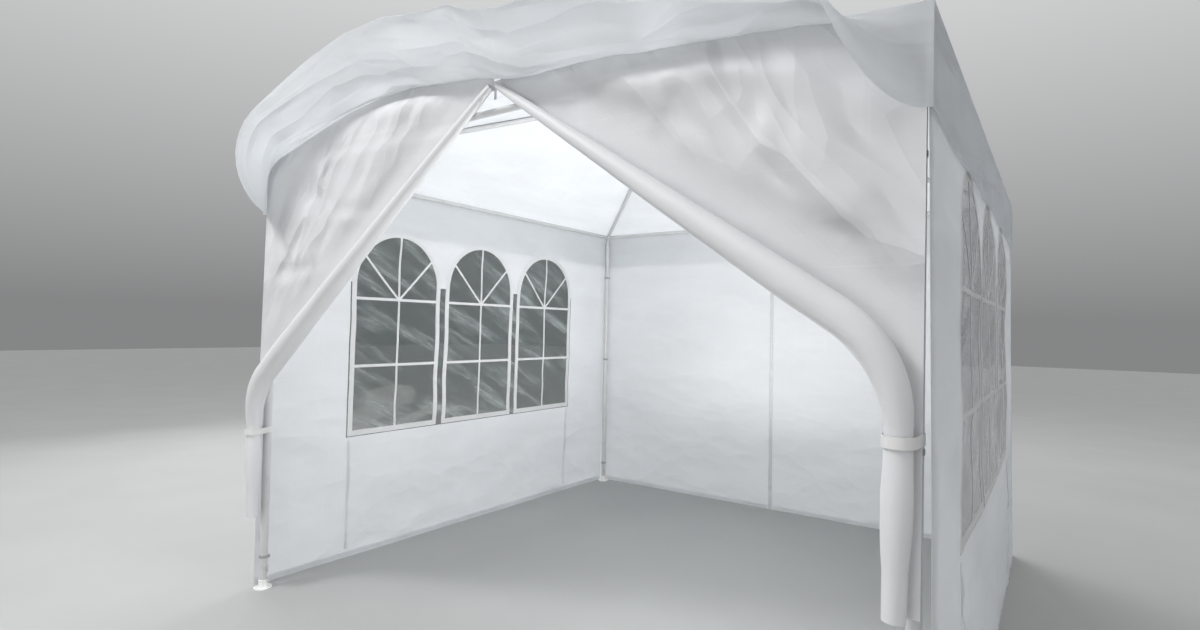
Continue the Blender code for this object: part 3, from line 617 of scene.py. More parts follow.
class Nodes:
    """Shorthand for building one node tree."""

    def __init__(self, tree: Tree) -> None:
        """Keeps the tree."""
        self.tree = tree

    def link(self, source: Socket, target: Socket) -> None:
        """Joins two sockets."""
        self.tree.links.new(source, target)

    def feed(self, value: object, target: Socket) -> None:
        """Gives an input its value.

        Args:
            value: the value, or the socket that it comes from.
            target: the input.
        """
        if isinstance(value, Socket):
            self.link(value, target)
        else:
            target.default_value = value

    def add(self, kind: str, **settings: object) -> Node:
        """Adds a node and sets its options and inputs.

        Args:
            kind: the node's type.
            settings: options and inputs by name, with an underscore for each space of an input's name.

        Returns:
            The new node.
        """
        node = self.tree.nodes.new(kind)
        for key, value in settings.items():
            if hasattr(node, key):
                setattr(node, key, value)
            else:
                self.feed(value, node.inputs[key.replace("_", " ")])
        return node

    def maths(self, operation: str, *values: float | Socket) -> Socket:
        """Adds a sum.

        Args:
            operation: name of the sum.
            values: numbers or sockets, in order.

        Returns:
            The socket that holds the result.
        """
        node = self.add("ShaderNodeMath", operation=operation)
        for value, socket in zip(values, node.inputs):
            self.feed(value, socket)
        return node.outputs[0]

    def ramp(self, value: Socket, low: float, high: float, to: tuple[float, float] = (0, 1)) -> Socket:
        """Maps a value from low and high to a new range, kept inside it."""
        node = self.add(
            "ShaderNodeMapRange", Value=value, From_Min=low, From_Max=high, To_Min=to[0], To_Max=to[1]
        )
        return node.outputs["Result"]

    def noise(self, vector: Socket, scale: float | Socket, detail: float = 2.0, rough: float = 0.5) -> Socket:
        """Adds noise over a vector: bumps in a unit, how many finer layers and how strong they are."""
        node = self.add("ShaderNodeTexNoise", Vector=vector, Scale=scale, Detail=detail, Roughness=rough)
        return node.outputs["Fac"]

    def stretched(self, vector: Socket, scale: Triple) -> Socket:
        """Multiplies a vector, axis by axis."""
        return self.add("ShaderNodeMapping", Vector=vector, Scale=scale).outputs["Vector"]

    def laid(self, vector: Socket, size: Triple, lean: float) -> Socket:
        """Lays a pattern over a vector, with a size on each axis and a lean in radians."""
        turn = (0, 0, lean)
        node = self.add("ShaderNodeMapping", vector_type="TEXTURE", Vector=vector, Scale=size, Rotation=turn)
        return node.outputs["Vector"]

    def axis(self, vector: Socket, letter: str) -> Socket:
        """One coordinate of a vector."""
        return self.add("ShaderNodeSeparateXYZ", Vector=vector).outputs[letter]

    def blend(self, factor: float | Socket, first: Colour | Socket, second: Colour | Socket) -> Socket:
        """Blends two colours.

        Args:
            factor: share of the second colour.
            first: the first colour.
            second: the second colour.

        Returns:
            The socket that holds the blend.
        """
        node = self.add("ShaderNodeMix", data_type="RGBA")
        self.feed(factor, node.inputs[0])
        ends = [socket for socket in node.inputs if socket.type == "RGBA"]
        for value, socket in zip((first, second), ends):
            self.feed((*value, 1) if isinstance(value, tuple) else value, socket)
        return next(socket for socket in node.outputs if socket.type == "RGBA")

    def bump(self, height: Socket, strength: float, depth: float, under: Socket | None = None) -> Socket:
        """Adds relief.

        Args:
            height: the relief's height.
            strength: how much of it shows.
            depth: what a height of one stands for, in metres.
            under: the normal that it is laid on.

        Returns:
            The socket that holds the normal.
        """
        node = self.add("ShaderNodeBump", Height=height, Strength=strength, Distance=depth)
        if under is not None:
            self.link(under, node.inputs["Normal"])
        return node.outputs["Normal"]


def started_tree(
    name: str, kind: str, inputs: dict[str, str | float], outputs: dict[str, str],
) -> tuple[Nodes, Node, Node]:
    """Starts a node group.

    Args:
        name: the group's name.
        kind: the tree's type.
        inputs: type of each input by name, or the default of one that is a number.
        outputs: type of each output by name.

    Returns:
        The tree's node helper, its input node and its output node.
    """
    tree = bpy.data.node_groups.new(name, kind)
    for key, value in inputs.items():
        word = value if isinstance(value, str) else "Float"
        socket = tree.interface.new_socket(key, in_out="INPUT", socket_type=f"NodeSocket{word}")
        if word == "Float":
            socket.default_value = value
    for key, word in outputs.items():
        tree.interface.new_socket(key, in_out="OUTPUT", socket_type=f"NodeSocket{word}")
    nodes = Nodes(tree)
    return nodes, nodes.add("NodeGroupInput"), nodes.add("NodeGroupOutput")


class Shared(Enum):
    """The shared shader effects and geometry trees, with their names."""

    WOVEN = "woven_sheeting"
    FOLDS = "cloth_folds"
    GRAIN = "surface_grain"
    PIECES = "pieces_along_lines"
    BANDS = "bands_on_points"


def woven_effect() -> Tree:
    """Woven tapes under a clear coat: their shade, relief and gloss over the cloth's own coordinates.

    Returns:
        The effect.
    """
    nodes, given, put = started_tree(
        Shared.WOVEN.value, "ShaderNodeTree",
        {"Vector": "Vector", "Tapes": 380.0, "Lines": 0.5, "Clouds": 0.5},
        {"Shade": "Float", "Height": "Float", "Gloss": "Float"},
    )
    vector = given.outputs["Vector"]
    waves = []
    for letter in ("X", "Y"):
        tapes = nodes.maths("MULTIPLY", nodes.axis(vector, letter), given.outputs["Tapes"])
        waves.append(nodes.maths("SINE", nodes.maths("MULTIPLY", tapes, 2 * math.pi)))
    weave = nodes.maths("MULTIPLY", *waves)
    upright = nodes.ramp(nodes.noise(nodes.stretched(vector, (55, 1.3, 1)), 1.0, 3.0, 0.62), 0.60, 0.72)
    level = nodes.ramp(nodes.noise(nodes.stretched(vector, (1.1, 62, 1)), 1.0, 3.0, 0.62), 0.62, 0.72)
    slubs = nodes.ramp(nodes.noise(nodes.stretched(vector, (14, 240, 1)), 1.0, 1.0), 0.66, 0.78)
    line = nodes.maths("MAXIMUM", nodes.maths("MAXIMUM", upright, level), slubs)
    cloud = nodes.noise(nodes.stretched(vector, (1.2, 3.4, 1)), 1.6, 4.0, 0.6)
    cloud = nodes.ramp(cloud, 0.3, 0.7, (-1, 1))
    lined = nodes.maths("MULTIPLY", line, given.outputs["Lines"])
    clouded = nodes.maths("MULTIPLY", cloud, given.outputs["Clouds"])
    nodes.link(nodes.maths("ADD", lined, clouded), put.inputs["Shade"])
    relief = nodes.maths("ADD", nodes.maths("MULTIPLY", weave, 0.35), nodes.maths("MULTIPLY", line, 0.8))
    nodes.link(relief, put.inputs["Height"])
    nodes.link(nodes.ramp(cloud, -1, 1, (0.40, 0.58)), put.inputs["Gloss"])
    return nodes.tree


def folds_effect() -> Tree:
    """Creased cloth: flat facets between bent ridges, over the cloth's own coordinates.

    Returns:
        The effect.
    """
    nodes, given, put = started_tree(
        Shared.FOLDS.value, "ShaderNodeTree",
        {"Vector": "Vector", "Scale": 4.0}, {"Height": "Float"},
    )
    vector, scale = given.outputs["Vector"], given.outputs["Scale"]
    sway = nodes.add("ShaderNodeTexNoise", Vector=vector, Scale=2.3, Detail=2.0)
    swing = nodes.add("ShaderNodeVectorMath", operation="SCALE", Scale=0.22)
    nodes.link(sway.outputs["Color"], swing.inputs[0])
    moved = nodes.add("ShaderNodeVectorMath", operation="ADD")
    nodes.link(vector, moved.inputs[0])
    nodes.link(swing.outputs[0], moved.inputs[1])
    facets = []
    for factor, weight in ((1.0, 0.72), (2.3, 0.26)):
        cells = nodes.add(
            "ShaderNodeTexVoronoi", feature="F1", voronoi_dimensions="2D", Vector=moved.outputs[0],
            Scale=nodes.maths("MULTIPLY", scale, factor),
        )
        facets.append(nodes.maths("MULTIPLY", cells.outputs["Distance"], weight))
    ridge = nodes.noise(moved.outputs[0], nodes.maths("MULTIPLY", scale, 0.8), 1.5)
    off_ridge = nodes.maths("ABSOLUTE", nodes.maths("SUBTRACT", ridge, 0.5))
    lowered = nodes.maths("MULTIPLY", off_ridge, 0.9)
    nodes.link(nodes.maths("SUBTRACT", nodes.maths("ADD", *facets), lowered), put.inputs["Height"])
    return nodes.tree


def grain_effect() -> Tree:
    """Fine surface grain with a trace of dust, over an object's own coordinates.

    Returns:
        The effect.
    """
    nodes, given, put = started_tree(
        Shared.GRAIN.value, "ShaderNodeTree",
        {"Vector": "Vector", "Fine": 600.0, "Broad": 9.0},
        {"Height": "Float", "Dust": "Float", "Gloss": "Float"},
    )
    vector = given.outputs["Vector"]
    broad = nodes.noise(vector, given.outputs["Broad"], 5.0, 0.65)
    nodes.link(nodes.noise(vector, given.outputs["Fine"]), put.inputs["Height"])
    nodes.link(nodes.ramp(broad, 0.52, 0.78), put.inputs["Dust"])
    nodes.link(nodes.ramp(broad, 0.2, 0.8, (-0.08, 0.08)), put.inputs["Gloss"])
    return nodes.tree


TREES: dict[Shared, Tree] = {}


def shared_tree(which: Shared) -> Tree:
    """A shared node tree, built the first time that it is asked for.

    Args:
        which: which one.

    Returns:
        The tree.
    """
    makers = {
        Shared.WOVEN: woven_effect, Shared.FOLDS: folds_effect, Shared.GRAIN: grain_effect,
        Shared.PIECES: pieces_along_lines, Shared.BANDS: bands_on_points,
    }
    if which not in TREES:
        TREES[which] = makers[which]()
    return TREES[which]


def add_effect(nodes: Nodes, effect: Shared, vector: Socket, **values: float) -> Node:
    """Places a shared effect in a material with its own values."""
    return nodes.add("ShaderNodeGroup", node_tree=shared_tree(effect), Vector=vector, **values)


def new_material(name: str) -> tuple[Material, Nodes, Node, Node]:
    """Starts a material with a principled shader on its output.

    Args:
        name: the material's name.

    Returns:
        The material, the helper for its nodes, its shader and its output.
    """
    material = bpy.data.materials.new(name)
    material.use_nodes = True
    tree = material.node_tree
    return material, Nodes(tree), tree.nodes["Principled BSDF"], tree.nodes["Material Output"]


@dataclass(frozen=True)
class ClothFinish:
    """Coated woven sheeting that lets light through."""

    name: str
    bright: Colour
    dull: Colour
    through: float
    glow: Colour = (0.93, 0.95, 0.97)
    glow_dip: float = 0.93
    sheen: float = 0.08
    tapes: float = 380.0
    lines: float = 0.35
    clouds: float = 0.28
    relief: float = 0.0004
    fold_scale: float = 2.2
    fold_size: Triple = (1.0, 0.6, 1.0)
    fold_lean: float = 0.0
    fold_depth: float = 0.010
    folds_where_loose: bool = False

    def build(self) -> Material:
        """Builds the material.

        Returns:
            The material.
        """
        material, nodes, shader, output = new_material(self.name)
        spot = nodes.add("ShaderNodeTexCoord").outputs["UV"]
        woven = add_effect(nodes, Shared.WOVEN, spot, Tapes=self.tapes, Lines=self.lines, Clouds=self.clouds)
        part = nodes.ramp(woven.outputs["Shade"], -0.3, 0.6)
        nodes.link(nodes.blend(part, self.dull, self.bright), shader.inputs["Base Color"])
        nodes.link(woven.outputs["Gloss"], shader.inputs["Roughness"])
        nodes.feed(self.sheen, shader.inputs["Sheen Weight"])
        laid = nodes.laid(spot, self.fold_size, self.fold_lean)
        folds = add_effect(nodes, Shared.FOLDS, laid, Scale=self.fold_scale).outputs["Height"]
        if self.folds_where_loose:
            loose = nodes.add("ShaderNodeAttribute", attribute_name="loose")
            folds = nodes.maths("MULTIPLY", folds, loose.outputs["Fac"])
        creased = nodes.bump(folds, 1.0, self.fold_depth)
        normal = nodes.bump(woven.outputs["Height"], 0.5, self.relief, creased)
        nodes.link(normal, shader.inputs["Normal"])
        dim = tuple(c * self.glow_dip for c in self.glow)
        lit = nodes.add("ShaderNodeBsdfTranslucent", Color=nodes.blend(part, dim, self.glow), Normal=normal)
        mix = nodes.add("ShaderNodeMixShader")
        for value, socket in zip((self.through, shader.outputs[0], lit.outputs[0]), mix.inputs):
            nodes.feed(value, socket)
        nodes.link(mix.outputs[0], output.inputs["Surface"])
        return material


@dataclass(frozen=True)
class FilmFinish:
    """Clear window film with hazy streaks and ripples; its dark colour is painted shade for the dim view
    through it.
    """

    name: str
    # Dark colour of the clear film: painted shade for the dim view through the windows.
    colour: Colour = (0.085, 0.105, 0.10)
    haze_colour: Colour = (0.44, 0.48, 0.47)
    clear: float = 0.50
    hazy: float = 0.74
    roughness: tuple[float, float] = (0.08, 0.26)
    streak_size: Triple = (0.62, 0.10, 1.0)
    lean: float = 0.45
    ripples: Triple = (3.0, 7.0, 1)
    relief: float = 0.004

    def build(self) -> Material:
        """Builds the material.

        Returns:
            The material.
        """
        material, nodes, shader, _ = new_material(self.name)
        spot = nodes.add("ShaderNodeTexCoord").outputs["UV"]
        streak = nodes.noise(nodes.laid(spot, self.streak_size, self.lean), 1.0, 4.0, 0.62)
        haze = nodes.ramp(streak, 0.48, 0.74)
        nodes.link(nodes.blend(haze, self.colour, self.haze_colour), shader.inputs["Base Color"])
        nodes.link(nodes.ramp(haze, 0, 1, (self.clear, self.hazy)), shader.inputs["Alpha"])
        nodes.link(nodes.ramp(haze, 0, 1, self.roughness), shader.inputs["Roughness"])
        ripple = nodes.noise(nodes.stretched(spot, self.ripples), 1.0)
        nodes.link(nodes.bump(ripple, 0.35, self.relief), shader.inputs["Normal"])
        return material


@dataclass(frozen=True)
class HardFinish:
    """Painted steel, bare wire, thread or moulded plastic."""

    name: str
    colour: Colour
    dusty: Colour
    roughness: float
    metallic: float = 0.0
    coat: float = 0.0
    fine: float = 600.0
    broad: float = 9.0
    relief: float = 0.00012

    def build(self) -> Material:
        """Builds the material.

        Returns:
            The material.
        """
        material, nodes, shader, _ = new_material(self.name)
        spot = nodes.add("ShaderNodeTexCoord").outputs["Object"]
        grain = add_effect(nodes, Shared.GRAIN, spot, Fine=self.fine, Broad=self.broad)
        colour = nodes.blend(grain.outputs["Dust"], self.colour, self.dusty)
        nodes.link(colour, shader.inputs["Base Color"])
        roughness = nodes.maths("ADD", grain.outputs["Gloss"], self.roughness)
        nodes.link(roughness, shader.inputs["Roughness"])
        nodes.feed(self.metallic, shader.inputs["Metallic"])
        nodes.feed(self.coat, shader.inputs["Coat Weight"])
        nodes.link(nodes.bump(grain.outputs["Height"], 0.4, self.relief), shader.inputs["Normal"])
        return material


@dataclass(frozen=True)
class WebbingFinish:
    """Woven band or cord with ribs across it."""

    name: str
    colour: Colour
    ribs: float = 500.0
    specks: float = 900.0
    dip: float = 0.82
    roughness: float = 0.82
    relief: float = 0.0004

    def build(self) -> Material:
        """Builds the material.

        Returns:
            The material.
        """
        material, nodes, shader, _ = new_material(self.name)
        spot = nodes.add("ShaderNodeTexCoord").outputs["Object"]
        turns = nodes.maths("MULTIPLY", nodes.axis(spot, "Z"), self.ribs * 2 * math.pi)
        wave = nodes.maths("MULTIPLY", nodes.maths("SINE", turns), 0.3)
        part = nodes.ramp(nodes.maths("ADD", wave, nodes.noise(spot, self.specks)), 0.0, 1.2)
        low = tuple(c * self.dip for c in self.colour)
        nodes.link(nodes.blend(part, low, self.colour), shader.inputs["Base Color"])
        nodes.feed(self.roughness, shader.inputs["Roughness"])
        nodes.link(nodes.bump(part, 0.6, self.relief), shader.inputs["Normal"])
        return material


class Finishes:
    """All the finishes, each built once."""

    def __init__(self) -> None:
        """Builds each finish."""
        self.roof = ClothFinish(
            "roof_sheeting", bright=(0.88, 0.885, 0.89), dull=(0.79, 0.795, 0.805), through=0.58,
            fold_scale=2.6, fold_size=(2.2, 0.42, 1.0), fold_lean=0.10, fold_depth=0.065,
            folds_where_loose=True,
        ).build()
        self.wall = ClothFinish(
            "wall_sheeting", bright=(0.90, 0.905, 0.91), dull=(0.84, 0.845, 0.855), through=0.50,
            fold_depth=0.014,
        ).build()
        self.door = ClothFinish(
            "door_sheeting", bright=(0.84, 0.845, 0.85), dull=(0.77, 0.775, 0.785), through=0.22,
            lines=0.25, fold_scale=2.7, fold_size=(1.7, 0.62, 1.0), fold_lean=-0.95, fold_depth=0.060,
            folds_where_loose=True,
        ).build()
        # The rolled cloth is the door's cloth; its colour is set darker than the door's as painted shade.
        self.roll = ClothFinish(
            "rolled_sheeting_painted_shade", bright=(0.80, 0.805, 0.81), dull=(0.73, 0.735, 0.745), through=0.06,
            lines=0.25, fold_scale=2.0, fold_size=(3.0, 0.2, 1.0), fold_depth=0.012,
        ).build()
        self.trim = ClothFinish(
            "welded_band", bright=(0.93, 0.93, 0.935), dull=(0.90, 0.90, 0.905), through=0.25,
            lines=0.1, clouds=0.1, fold_depth=0.004,
        ).build()
        self.film = FilmFinish("window_film").build()
        # The tubes' paint is white; their colour and dust colour are set to a mid grey instead, as painted
        # shade.
        self.steel = HardFinish(
            "white_tube_painted_shade", colour=(0.60, 0.605, 0.61), dusty=(0.54, 0.54, 0.53), roughness=0.34, coat=0.2,
        ).build()
        self.wire = HardFinish(
            "galvanised_wire", colour=(0.60, 0.61, 0.63), dusty=(0.50, 0.50, 0.50), roughness=0.34,
            metallic=0.95, fine=1500.0,
        ).build()
        self.plastic = HardFinish(
            "moulded_foot", colour=(0.87, 0.87, 0.86), dusty=(0.80, 0.79, 0.76), roughness=0.42,
            fine=900.0, broad=14.0,
        ).build()
        self.webbing = WebbingFinish("tie_webbing", (0.80, 0.80, 0.79)).build()
        self.tape = WebbingFinish("zip_tape_weave", (0.66, 0.67, 0.68)).build()
        self.cord = WebbingFinish("tie_cord", (0.40, 0.405, 0.41)).build()
        self.thread = HardFinish(
            "sewing_thread", colour=(0.90, 0.90, 0.90), dusty=(0.84, 0.84, 0.84), roughness=0.7,
        ).build()


def finished_tree(
    nodes: Nodes, given: Node, put: Node, pieces: Node,
) -> Tree:
    """Ends a geometry tree: its pieces become plain mesh in the finish that is asked for.

    Args:
        nodes: the tree's node helper.
        given: its input node.
        put: its output node.
        pieces: the node that sets the pieces.

    Returns:
        The tree.
    """
    real = nodes.add("GeometryNodeRealizeInstances", Geometry=pieces.outputs[0])
    finish = given.outputs["Finish"]
    painted = nodes.add("GeometryNodeSetMaterial", Geometry=real.outputs[0], Material=finish)
    nodes.link(painted.outputs[0], put.inputs[0])
    return nodes.tree


def pieces_along_lines() -> Tree:
    """Geometry tree that sets small rounded pieces at even steps along every line of a mesh.

    Returns:
        The tree.
    """
    nodes, given, put = started_tree(
        Shared.PIECES.value, "GeometryNodeTree",
        {
            "Geometry": "Geometry", "Spacing": 0.008, "Length": 0.005, "Width": 0.001, "Height": 0.0008,
            "Wander": 0.1, "Facing": "Vector", "Seed": "Int", "Finish": "Material",
        },
        {"Geometry": "Geometry"},
    )
    asked = given.outputs
    line = nodes.add("GeometryNodeMeshToCurve", Mesh=asked["Geometry"]).outputs["Curve"]
    even = nodes.add("GeometryNodeResampleCurve", mode="LENGTH", Curve=line, Length=asked["Spacing"])
    ball = nodes.add("GeometryNodeMeshIcoSphere", Radius=0.5, Subdivisions=1)
    tangent = nodes.add("GeometryNodeInputTangent").outputs[0]
    along = nodes.add("FunctionNodeAlignRotationToVector", axis="X", Vector=tangent).outputs[0]
    facing = nodes.add(
        "FunctionNodeAlignRotationToVector", axis="Z", pivot_axis="X", Rotation=along, Vector=asked["Facing"]
    )
    size = nodes.add("ShaderNodeCombineXYZ", X=asked["Length"], Y=asked["Width"], Z=asked["Height"])
    wander = nodes.add("FunctionNodeRandomValue", data_type="FLOAT", Seed=asked["Seed"])
    nodes.link(nodes.maths("SUBTRACT", 1.0, asked["Wander"]), wander.inputs[2])
    nodes.link(nodes.maths("ADD", 1.0, asked["Wander"]), wander.inputs[3])
    scaled = nodes.add("ShaderNodeVectorMath", operation="SCALE", Scale=wander.outputs[1])
    nodes.link(size.outputs[0], scaled.inputs[0])
    pieces = nodes.add(
        "GeometryNodeInstanceOnPoints", Points=even.outputs["Curve"], Instance=ball.outputs["Mesh"],
        Rotation=facing.outputs[0], Scale=scaled.outputs[0],
    )
    return finished_tree(nodes, given, put, pieces)


def bands_on_points() -> Tree:
    """Geometry tree that sets a round band at every point of a mesh, about the upright axis.

    Returns:
        The tree.
    """
    nodes, given, put = started_tree(
        Shared.BANDS.value, "GeometryNodeTree",
        {
            "Geometry": "Geometry", "Radius": 0.02, "Band Width": 0.016, "Thickness": 0.0016,
            "Finish": "Material",
        },
        {"Geometry": "Geometry"},
    )
    asked = given.outputs
    ring = nodes.add("GeometryNodeCurvePrimitiveCircle", mode="RADIUS", Resolution=28, Radius=asked["Radius"])
    section = nodes.add(
        "GeometryNodeCurvePrimitiveQuadrilateral", mode="RECTANGLE", Width=asked["Thickness"],
        Height=asked["Band Width"],
    )
    ring_line, outline = ring.outputs["Curve"], section.outputs["Curve"]
    band = nodes.add("GeometryNodeCurveToMesh", Curve=ring_line, Profile_Curve=outline)
    pieces = nodes.add(
        "GeometryNodeInstanceOnPoints", Points=asked["Geometry"], Instance=band.outputs["Mesh"]
    )
    return finished_tree(nodes, given, put, pieces)


def grown(
    name: str, points: Points, edges: Iterable[tuple[int, int]], which: Shared, values: dict[str, object],
) -> Item:
    """Runs a geometry tree on points and lines and keeps the plain mesh that it gives.

    Args:
        name: the new object's name.
        points: world points.
        edges: pairs of point numbers that lines join.
        which: which tree.
        values: the tree's inputs by name.

    Returns:
        The new object, with no modifier left.
    """
    tree = shared_tree(which)
    mesh = bpy.data.meshes.new(name)
    mesh.from_pydata(np.asarray(points).tolist(), list(edges), [])
    item = placed(name, mesh)
    step = item.modifiers.new("grown", "NODES")
    step.node_group = tree
    for socket in tree.interface.items_tree:
        if socket.item_type == "SOCKET" and socket.in_out == "INPUT" and socket.name in values:
            step[socket.identifier] = values[socket.name]
    evaluated_mesh(item)
    return item


@dataclass
class Sewing:
    """Rows of stitches, each along a line on a sheet."""

    name: str
    facing: np.ndarray
    spacing: float = 0.009
    length: float = 0.0062
    width: float = 0.0011
    height: float = 0.0011
    wander: float = 0.12
    points: list = field(default_factory=list)
    edges: list = field(default_factory=list)

    def add(self, line: Points) -> None:
        """Adds a row of stitches.

        Args:
            line: world points along the row.
        """
        start = sum(len(p) for p in self.points)
        self.points.append(line)
        self.edges += [(start + k, start + k + 1) for k in range(len(line) - 1)]

    def make(self, finish: Material, seed: int) -> Item:
        """Makes all the rows one piece.

        Args:
            finish: the thread's finish.
            seed: chooses how the stitches differ.

        Returns:
            The new object.
        """
        values = {
            "Spacing": self.spacing, "Length": self.length, "Width": self.width, "Height": self.height,
            "Wander": self.wander, "Facing": tuple(self.facing), "Seed": seed, "Finish": finish,
        }
        item = grown(self.name, np.concatenate(self.points), self.edges, Shared.PIECES, values)
        item.data.shade_smooth()
        return item


@dataclass
class RoofCover:
    """The roof and its valances: one continuous sheet over the frame."""

    plan: Plan
    finishes: Finishes
    columns: int = 128
    roof_rows: int = 34
    fold_rows: int = 6
    drop_rows: int = 34
    crowding: float = 1.15
    sag: float = 0.020
    sag_power: float = 0.8
    roof_loose: float = 0.12
    drop_loose: float = 0.30
    corner_hold: float = 18.0
    least_turn: float = 1e-5
    pattern_slope: float = 0.94
    weld_distance: float = 0.00002
    thickness: float = CLOTH_THICKNESS
    hem_rows: tuple[float, float] = (0.028, 0.006)
    hem_curl: float = 0.11
    seam_half_width: float = 0.016
    seam_thickness: float = 0.0011
    seam_points: int = 70

    @property
    def middle(self) -> float:
        """Distance of the valances' middle layer from the tent's middle."""
        return self.plan.valance_face + self.plan.cloth / 2

    @property
    def drop(self) -> float:
        """Length of a valance that hangs straight down."""
        return float(self.plan.roof_under(self.plan.valance_face)) - self.plan.valance_bottom

    def roof_height(self, side: Side, distance: Points, share: Points) -> Points:
        """Height of the cover's middle layer on a slope.

        Args:
            side: the slope's side.
            distance: distance from the tent's middle.
            share: place along the side, from -1 at one hip to 1 at the other.

        Returns:
            Heights above the floor.
        """
        plan = self.plan
        part = distance / plan.eave_face
        height = plan.roof_under(distance) + plan.cloth / 2 / plan.slope_cosine
        free = np.clip(1 - share**4, 0, 1) * np.sin(math.pi * np.clip(part, 0, 1)) ** self.sag_power
        along = share * distance
        seed = 11 + list(Side).index(side)
        waves = Wave(0.006, (2.1, 0), (0, 1.1), seed).at(along, distance)
        waves += Wave(0.0035, (5.5, 3), (0, 1.7), seed + 7).at(along, distance)
        creases = Creases(seed, 34, math.pi / 2, 0.5, length=0.35, width=0.018, depth=0.0045)
        creases = creases.height(along, distance)
        if side is Side.FRONT:
            height = height + plan.door_raise(distance, share)
            return height + free * (waves * 1.5 + creases - self.sag * 0.3)
        return height + free * (waves + creases - self.sag)

    def drop_ripple(self, side: Side, length: Points, share: Points, turn: Points) -> Points:
        """How far a valance stands out from its plain place.

        Args:
            side: the valance's side.
            length: length down from the roof's edge.
            share: place along the side, from -1 at one corner to 1 at the other.
            turn: angle by which the valance is turned up there.

        Returns:
            Distances at right angles to the cloth.
        """
        along = share * self.middle
        seed = 31 + list(Side).index(side)
        hang = fade_in(length, 0.02, 0.16) * np.clip((1 - np.abs(share)) * self.corner_hold, 0, 1)
        ripple = Wave(0.0030, (7, 0), (0, 3), seed).at(along, length)
        ripple += Wave(0.0022, (17, 0), (0, 4), seed + 3).at(along, length)
        if side is not Side.FRONT:
            return ripple * hang
        loose = np.clip(turn / self.plan.door_turn_angle, 0, 1)
        pinched = Creases(5, 44, 0.12, 0.14, length=0.48, width=0.010, depth=0.014)
        folded = Creases(6, 30, 0.06, 0.10, length=0.60, width=0.013, depth=0.018, folded=True)
        folds = pinched.height(along, length) + folded.height(along, length)
        folds += Wave(0.014, (1.7, 2), (0, 9), seed + 5).at(along, length)
        ripple += loose * fade_in(length, 0.012, 0.06) * folds
        curled = fade_in(share, -0.95, -0.45) * (1 - fade_in(share, 0.25, 0.75))
        ripple += self.hem_curl * loose * curled * fade_in(length, 0.03, 0.30)
        return ripple * np.maximum(hang, loose)

    def drop_place(self, side: Side, length: Points, share: Points) -> tuple[Points, Points]:
        """Where a valance's middle layer lies.

        Args:
            side: the valance's side.
            length: length down from the roof's edge.
            share: place along the side, from -1 at one corner to 1 at the other.

        Returns:
            Distances from the tent's middle, and heights above the floor.
        """
        plan, bend = self.plan, self.plan.door_bend
        turn = plan.door_turn(share) if side is Side.FRONT else np.zeros_like(share)
        safe = np.maximum(turn, self.least_turn)
        bent, hanging = np.minimum(length, bend), np.maximum(length - bend, 0)
        angle = safe * bent / bend
        out = bend / safe * (1 - np.cos(angle)) + hanging * np.sin(turn)
        down = bend / safe * np.sin(angle) + hanging * np.cos(turn)
        start = plan.roof_under(self.middle)
        if side is Side.FRONT:
            start = start + plan.door_raise(np.full_like(share, plan.valance_face), share)
        ripple = self.drop_ripple(side, length, share, turn)
        lean = turn * bent / bend
        return self.middle + out + ripple * np.cos(lean), start - down + ripple * np.sin(lean)

    def side_net(self, side: Side) -> tuple[Points, Points, Points]:
        """Net of one side, row by row from peak to hem.

        Args:
            side: the side.

        Returns:
            World points, pattern coordinates and looseness.
        """
        plan, middle = self.plan, self.middle
        share = np.linspace(-1, 1, self.columns + 1)
        share = np.sign(share) * (1 - (1 - np.abs(share)) ** self.crowding)
        lifted = fade_in(1 - np.abs(share), 0.0, 0.2) * (side is Side.FRONT)
        hanging = self.drop_loose + (1 - self.drop_loose) * lifted
        rows, marks, loose = [], [], []
        for k in range(self.roof_rows):
            part = k / self.roof_rows
            distance = np.full_like(share, middle * part)
            rows.append(plan.at(side, distance, share * distance, self.roof_height(side, distance, share)))
            marks.append(np.stack([share * distance, -distance / plan.slope_cosine], 1))
            edge = float(fade_in(np.array(part), 0.75, 1.0))
            loose.append(self.roof_loose * (1 - edge) + hanging * edge)
        total = float(plan.roof_under(middle)) - plan.valance_bottom
        lengths = list(np.linspace(0, plan.door_bend, self.fold_rows))
        lengths += list(np.linspace(plan.door_bend, total, self.drop_rows)[1:])
        for length in lengths:
            out, height = self.drop_place(side, np.full_like(share, length), share)
            rows.append(plan.at(side, out, share * middle, height))
            level = np.full_like(share, -middle / self.pattern_slope - length)
            marks.append(np.stack([share * middle, level], 1))
            loose.append(hanging)
        return np.array(rows), np.array(marks), np.array(loose)

    def drop_line(self, side: Side, length: float, lift: float, trim: float = 0.004) -> Points:
        """Line along a valance.

        Args:
            side: the valance's side.
            length: length down from the roof's edge.
            lift: distance from the cloth's middle layer, outward.
            trim: share of the side that stays free at each end.

        Returns:
            World points along the line.
        """
        share = np.linspace(-1 + trim, 1 - trim, 240)
        spots = []
        for step in (0.0, 0.002):
            out, height = self.drop_place(side, np.full_like(share, length + step), share)
            spots.append(self.plan.at(side, out, share * self.middle, height))
        normal = np.cross(unit(spots[1] - spots[0]), side.lateral)
        normal *= np.sign((normal * side.outward).sum(1) + 0.2 * normal[:, 2])[:, None]
        return spots[0] + normal * lift

